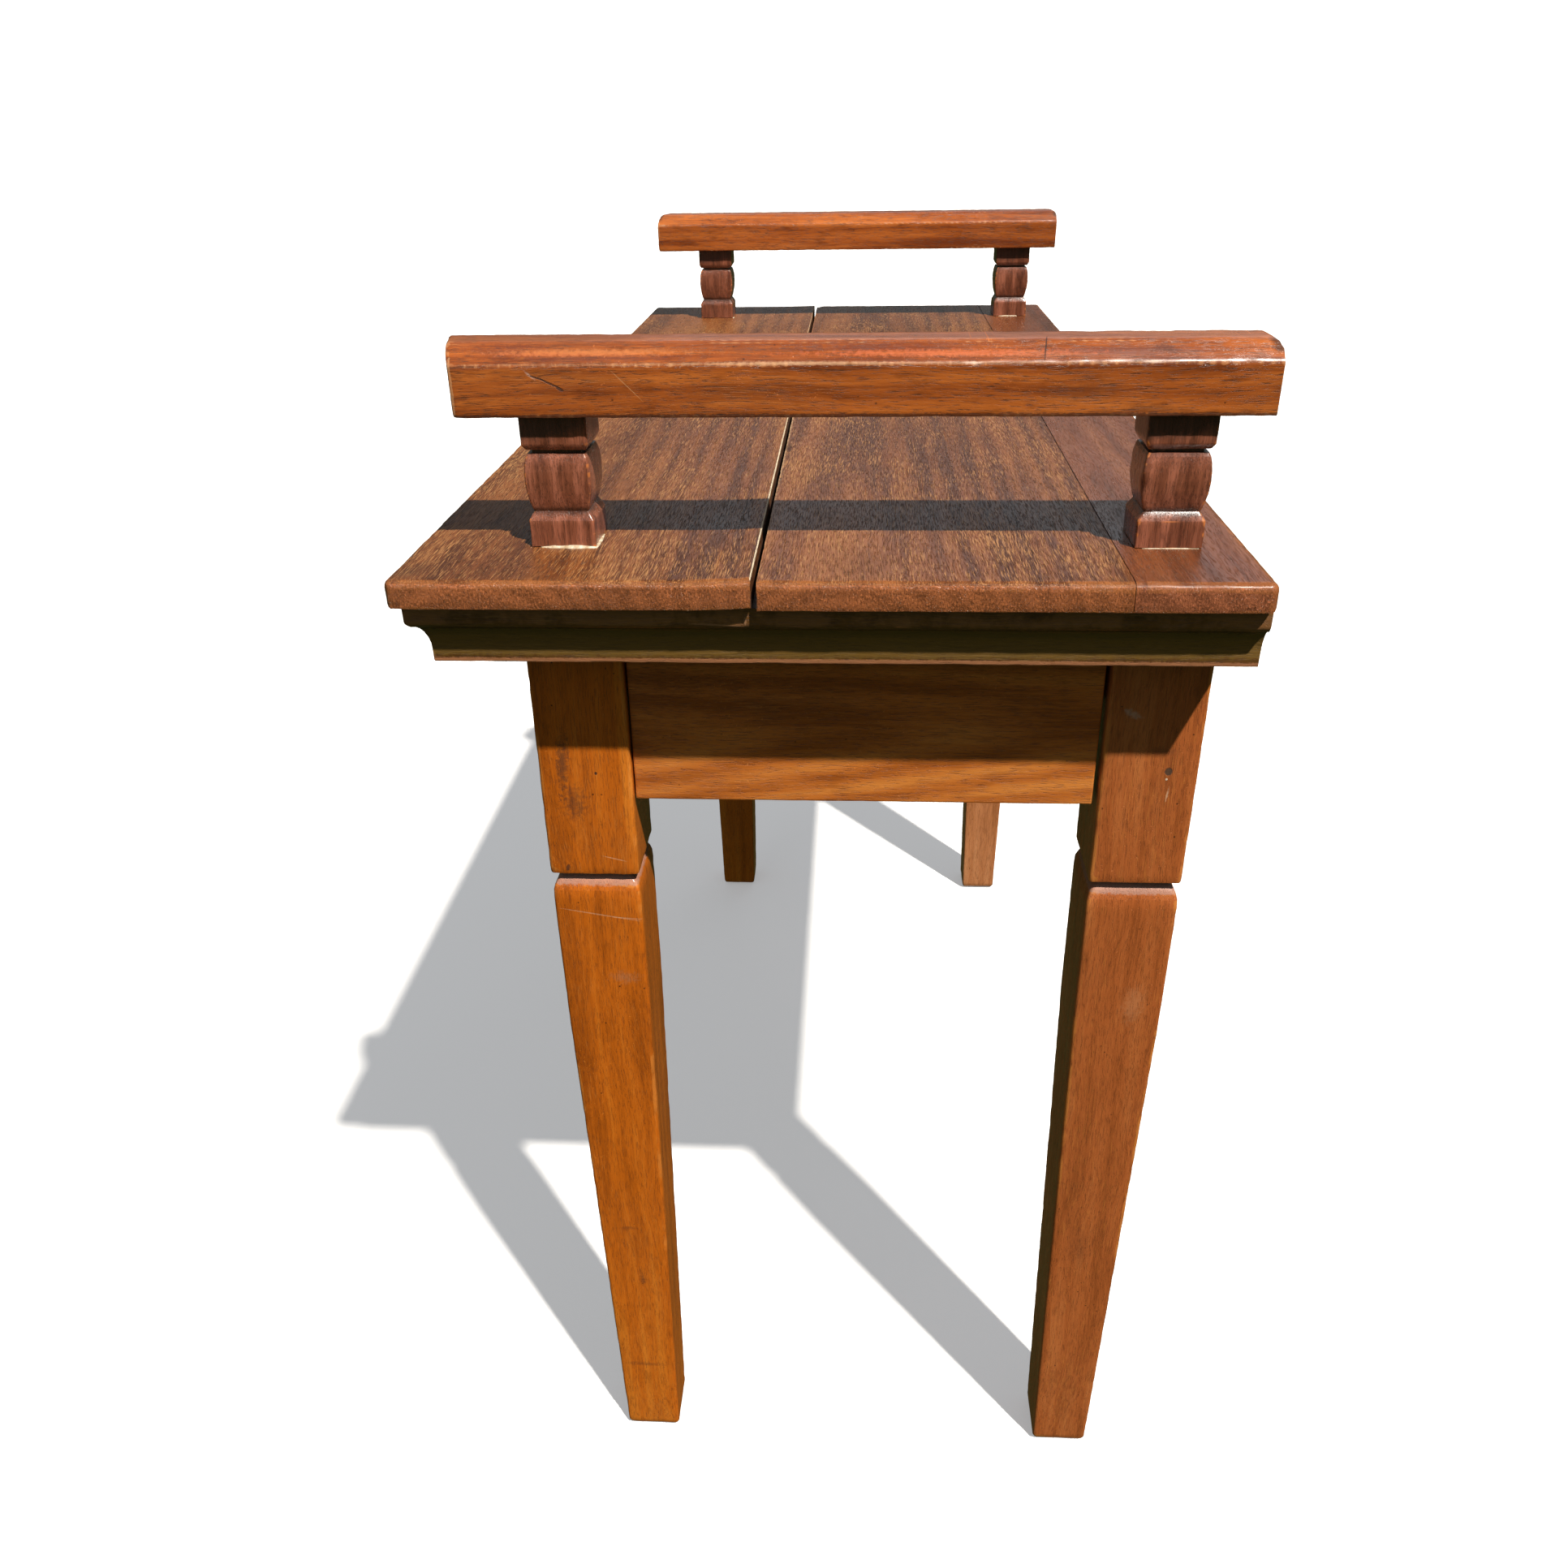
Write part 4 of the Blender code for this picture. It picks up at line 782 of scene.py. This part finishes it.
# partly wear, partly painted highlight: the pale line colour along the rail's arrises
ARRIS_WEAR_AND_HIGHLIGHT = (0.72, 0.40, 0.19)
MAROON = (0.13, 0.020, 0.006)
right_scars_and_highlights = [
    ((face, -0.1966, 0.850), (0.006, 0.0010, 0.021), (0, 0, 0), ARRIS_WEAR_AND_HIGHLIGHT, 0.42, 0.0, 1.2),
    ((face, 0.0, rail_low.z), (0.006, 0.5, 0.0022), (0, 0, 0), (0.05, 0.015, 0.008), 0.7, 0.0, 1.0),
    ((face - 0.008, -0.165, 0.867), (0.010, 0.030, 0.0040), (0, 0, 0), MAROON, 0.55, 0.0, 2.8),
    ((face - 0.003, -0.110, 0.864), (0.006, 0.060, 0.0022), (0, 0, 0), MAROON, 0.40, 0.0, 2.6),
    ((face - 0.008, 0.030, 0.868), (0.010, 0.060, 0.0030), (0, 0, 0), MAROON, 0.45, 0.0, 2.8),
    ((face - 0.006, 0.150, 0.866), (0.008, 0.050, 0.0030), (0, 0, 0), MAROON, 0.45, 0.0, 2.8),
    ((face - 0.005, 0.060, 0.8655), (0.006, 0.09, 0.0020), (0, 0, 0), (0.62, 0.12, 0.016), 0.6, 0.0, 2.4),
    ((face - 0.006, -0.130, 0.8660), (0.006, 0.06, 0.0016), (0, 0, 0), (0.62, 0.12, 0.016), 0.5, 0.0, 2.4),
    ((face, -0.154, 0.8560), (0.005, 0.0045, 0.0009), (0.75, 0, 0), (0.55, 0.34, 0.26), 0.7, -0.6, 1.5),
    ((face, -0.150, 0.8545), (0.005, 0.0050, 0.0005), (0.30, 0, 0), (0.03, 0.010, 0.005), 0.8, -1.2, 1.2),
    ((face, -0.144, 0.8520), (0.005, 0.0060, 0.0005), (0.42, 0, 0), (0.03, 0.010, 0.005), 0.8, -1.2, 1.2),
    ((face, -0.1390, 0.8492), (0.005, 0.0022, 0.0008), (0.40, 0, 0), (0.03, 0.010, 0.005), 0.8, -1.0, 1.0),
    ((face, -0.104, 0.8512), (0.005, 0.0118, 0.00022), (0.78, 0, 0), (0.60, 0.30, 0.12), 0.6, -0.4, 0.6),
    ((face - 0.008, 0.112, 0.868), (0.012, 0.0004, 0.008), (0, 0, 0.15), (0.02, 0.008, 0.005), 0.8, -0.8, 0.6),
    ((face - 0.007, 0.172, 0.867), (0.004, 0.009, 0.006), (0, 0, 0.5), (0.05, 0.015, 0.008), 0.5, -0.8, 2.2),
    ((face - 0.006, -0.12, 0.8665), (0.006, 0.07, 0.0020), (0, 0, 0), (0.52, 0.17, 0.040), 0.6, -0.4, 2.0),
    ((face - 0.007, -0.03, 0.8675), (0.006, 0.05, 0.0015), (0, 0, 0), (0.05, 0.015, 0.008), 0.35, -0.6, 2.2),
    # painted highlight with wear: pale lines along the upper arris
    ((face, 0.02, 0.8613), (0.0020, 0.30, 0.0012), (0, 0, 0), ARRIS_WEAR_AND_HIGHLIGHT, 0.30, 0.0, 1.5),
    ((face, -0.02, 0.8616), (0.003, 0.065, 0.0015), (0, 0, 0), ARRIS_WEAR_AND_HIGHLIGHT, 0.38, -0.1, 1.5),
    ((face, 0.075, 0.8612), (0.003, 0.006, 0.0010), (0, 0, 0), (0.86, 0.64, 0.50), 0.55, -0.2, 1.4),
    ((face, 0.165, 0.8615), (0.003, 0.008, 0.0010), (0, 0, 0), (0.86, 0.64, 0.50), 0.55, -0.2, 1.4),
    ((face, 0.130, 0.846), (0.004, 0.030, 0.0060), (0, 0, 0), STAIN, 0.25, 0.0, 2.0),
    ((face, 0.165, 0.838), (0.004, 0.020, 0.0030), (0, 0, 0), STAIN, 0.35, 0.0, 2.0),
    ((face, -0.06, 0.837), (0.004, 0.040, 0.0020), (0, 0, 0), STAIN, 0.30, 0.0, 2.0),
]
gouge = [((face, -0.152, 0.8550), (0.004, 0.007, 0.004), 0.0006, (-1, 0, 0))]
for side, scars_and_painted_light, dents in (("left", (), ()), ("right", right_scars_and_highlights, gouge)):
    refined(f"{side}_gallery_rail", "rail", "y", (0.004, 0.003, 0.004), wave=0.00015, loss=0.0006,
            scars_and_painted_light=scars_and_painted_light, pith=(0.03, 0.04), smooth=30, dents=dents)

# %% [markdown]
# ## Drawer
# The drawer front and its two turned knobs are on the user's side. The knobs were
# turned on a lathe, so their copy only needs its rings kept and shaded smooth.

# %% Drawer front and knobs
refined("drawer_front", "apron", "x", (0.006, 0.02, 0.006), ((0.0015,), (), (0.0015,)), pith=(0.03, 0.01))
for side in ("left", "right"):
    refined(f"drawer_{side}_knob", "post", "y", (0.05, 0.05, 0.05), wave=0.0, loss=0.0001, smooth=40)

# %% [markdown]
# ## Old glue
# Dried white glue stands in thin uneven beads where the posts meet the top and the
# rail. A bead is a small ring drawn along a short path, thicker and thinner by turns.

# %% Glue beads
def glue_material():
    made = bpy.data.materials.new("old_glue")
    made.use_nodes = True
    tree = made.node_tree
    shader = tree.nodes["Principled BSDF"]
    place = add(tree, "ShaderNodeTexCoord").outputs["Object"]
    soft = cloud(tree, stretched(tree, place, (260, 260, 260)), 4, 0.6)
    fine = cloud(tree, stretched(tree, place, (1500, 1500, 1500)), 3, 0.6)
    colour = blended(tree, window(tree, soft, 0.35, 0.7), (0.46, 0.33, 0.19), (0.80, 0.72, 0.55))
    colour = blended(tree, window(tree, fine, 0.58, 0.72, 0.0, 0.6), colour, (0.30, 0.18, 0.09))
    tree.links.new(colour, shader.inputs["Base Color"])
    tree.links.new(window(tree, soft, 0.3, 0.7, 0.45, 0.7), shader.inputs["Roughness"])
    bump = add(tree, "ShaderNodeBump", {"Height": fine, "Strength": 0.5, "Distance": 0.0004})
    tree.links.new(bump.outputs[0], shader.inputs["Normal"])
    return made


GLUE = glue_material()


def glue_bead(name, start, stop, radius, flatten, seed):
    """A bead from start to stop, squashed in Z by flatten, with noise in its width."""
    a, b = Vector(start), Vector(stop)
    along = (b - a).normalized()
    count = max(6, math.ceil((b - a).length / 0.0007))
    bm = bmesh.new()
    ring = bmesh.ops.create_circle(bm, cap_ends=True, segments=10, radius=radius)["verts"]
    turn = along.to_track_quat("Z", "Y").to_matrix()
    bmesh.ops.rotate(bm, verts=ring, cent=(0, 0, 0), matrix=turn)
    bmesh.ops.translate(bm, verts=ring, vec=a)
    face = bm.faces[:][0]
    start_ring = list(face.verts)
    rings = [start_ring]
    for k in range(count):
        behind = face
        made = bmesh.ops.extrude_face_region(bm, geom=[behind])
        verts = [v for v in made["geom"] if isinstance(v, bmesh.types.BMVert)]
        face = [f for f in made["geom"] if isinstance(f, bmesh.types.BMFace)][0]
        bmesh.ops.translate(bm, verts=verts, vec=(b - a) / count)
        rings.append(verts)
        if k:
            bmesh.ops.delete(bm, geom=[behind], context="FACES_ONLY")
    for k, verts in enumerate(rings):
        t = k / count
        taper = math.sin(math.pi * (0.06 + 0.88 * t)) ** 0.5
        swell = taper * (0.85 + 0.45 * noise.noise(Vector((seed, t * 5, 0.3))))
        centre = sum((v.co for v in verts), Vector()) / len(verts)
        for v in verts:
            v.co = centre + (v.co - centre) * max(0.15, swell)
            v.co.z = centre.z + (v.co.z - centre.z) * flatten
    bmesh.ops.recalc_face_normals(bm, faces=bm.faces)
    mesh = bpy.data.meshes.new(name)
    bm.to_mesh(mesh)
    bm.free()
    for f in mesh.polygons:
        f.use_smooth = True
    mesh.materials.append(GLUE)
    piece = bpy.data.objects.new(name, mesh)
    bpy.context.scene.collection.objects.link(piece)
    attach(piece, "table")
    return piece


low, high = post_span["front_right_post"]
neck = rail_low.z - 0.0003
glue_bead("glue_front_right_face", (high.x + 0.0002, -0.159, TOP), (high.x + 0.0006, high.y + 0.001, TOP),
          0.0025, 0.50, 1.0)
glue_bead("glue_front_right_side", (high.x, high.y + 0.0004, TOP), (low.x + 0.012, high.y + 0.0003, TOP),
          0.0012, 0.6, 2.0)
glue_bead("glue_front_right_head", (high.x, low.y + 0.008, neck), (high.x, low.y + 0.019, neck),
          0.0006, 0.8, 6.0)
low, high = post_span["back_right_post"]
glue_bead("glue_back_right_face", (high.x + 0.0002, low.y + 0.004, TOP), (high.x + 0.0002, high.y - 0.002, TOP),
          0.0007, 0.7, 3.0)
low, high = post_span["back_left_post"]
glue_bead("glue_back_left_face", (high.x + 0.0003, low.y + 0.006, TOP), (high.x + 0.0003, high.y - 0.010, TOP),
          0.0012, 0.8, 4.0)
low, high = post_span["front_left_post"]
glue_bead("glue_front_left_corner", (high.x - 0.006, high.y + 0.0003, TOP), (high.x + 0.0004, high.y, TOP),
          0.0009, 0.8, 5.0)

# %% [markdown]
# ## The rest
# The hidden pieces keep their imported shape, which is right, and take raw wood or
# steel. Their material follows the way each one was sawn.

# %% Hidden wood and metal
def steel(name):
    made = bpy.data.materials.new(name)
    made.use_nodes = True
    tree = made.node_tree
    shader = tree.nodes["Principled BSDF"]
    place = add(tree, "ShaderNodeTexCoord").outputs["Object"]
    soft = cloud(tree, stretched(tree, place, (300, 300, 300)), 4, 0.6)
    fine = cloud(tree, stretched(tree, place, (2400, 2400, 900)), 3, 0.6)
    colour = blended(tree, window(tree, soft, 0.35, 0.62), (0.58, 0.56, 0.52), (0.40, 0.33, 0.26))
    tree.links.new(colour, shader.inputs["Base Color"])
    tree.links.new(window(tree, soft, 0.3, 0.7, 0.28, 0.6), shader.inputs["Roughness"])
    shader.inputs["Metallic"].default_value = 1.0
    bump = add(tree, "ShaderNodeBump", {"Height": fine, "Strength": 0.3, "Distance": 0.0002})
    tree.links.new(bump.outputs[0], shader.inputs["Normal"])
    return made


INNER_AXIS = (("_batten", "y"), ("runner", "y"), ("kicker", "y"),
              ("stop", "x"), ("block", "z"), ("dowel", "z"), ("_side", "y"),
              ("drawer_back", "x"), ("drawer_bottom", "x"))
STEEL = steel("old_steel")
kept = 0
for node, obj in nodes.items():
    if obj.hide_render:
        continue
    if "screw" in node or "glide" in node:
        obj.material_slots[0].material = STEEL
    else:
        axis = next(way for word, way in INNER_AXIS if word in node)
        low, high = span(node)
        obj.material_slots[0].material = wood(node + "_finish", axis, (low + high) / 2, seed_of(node),
                                              **LOOKS["inner"])
    kept += 1
print("packed pieces kept:", kept)

# %% [markdown]
# ## Last check
# Every new piece has to be closed, with two faces on each edge. The visual model
# must also stay inside the imported one.

# %% Open edges
def open_edges(mesh):
    uses = {}
    for face in mesh.polygons:
        for key in face.edge_keys:
            uses[key] = uses.get(key, 0) + 1
    return sum(1 for count in uses.values() if count != 2)


shown = [o for o in bpy.context.scene.objects if o.type == "MESH" and not o.hide_render]
made_here = [o for o in shown if o not in (floor, backdrop) and o.name not in nodes]
print("pieces with open edges:", [o.name for o in made_here if open_edges(o.data)], "of", len(made_here))
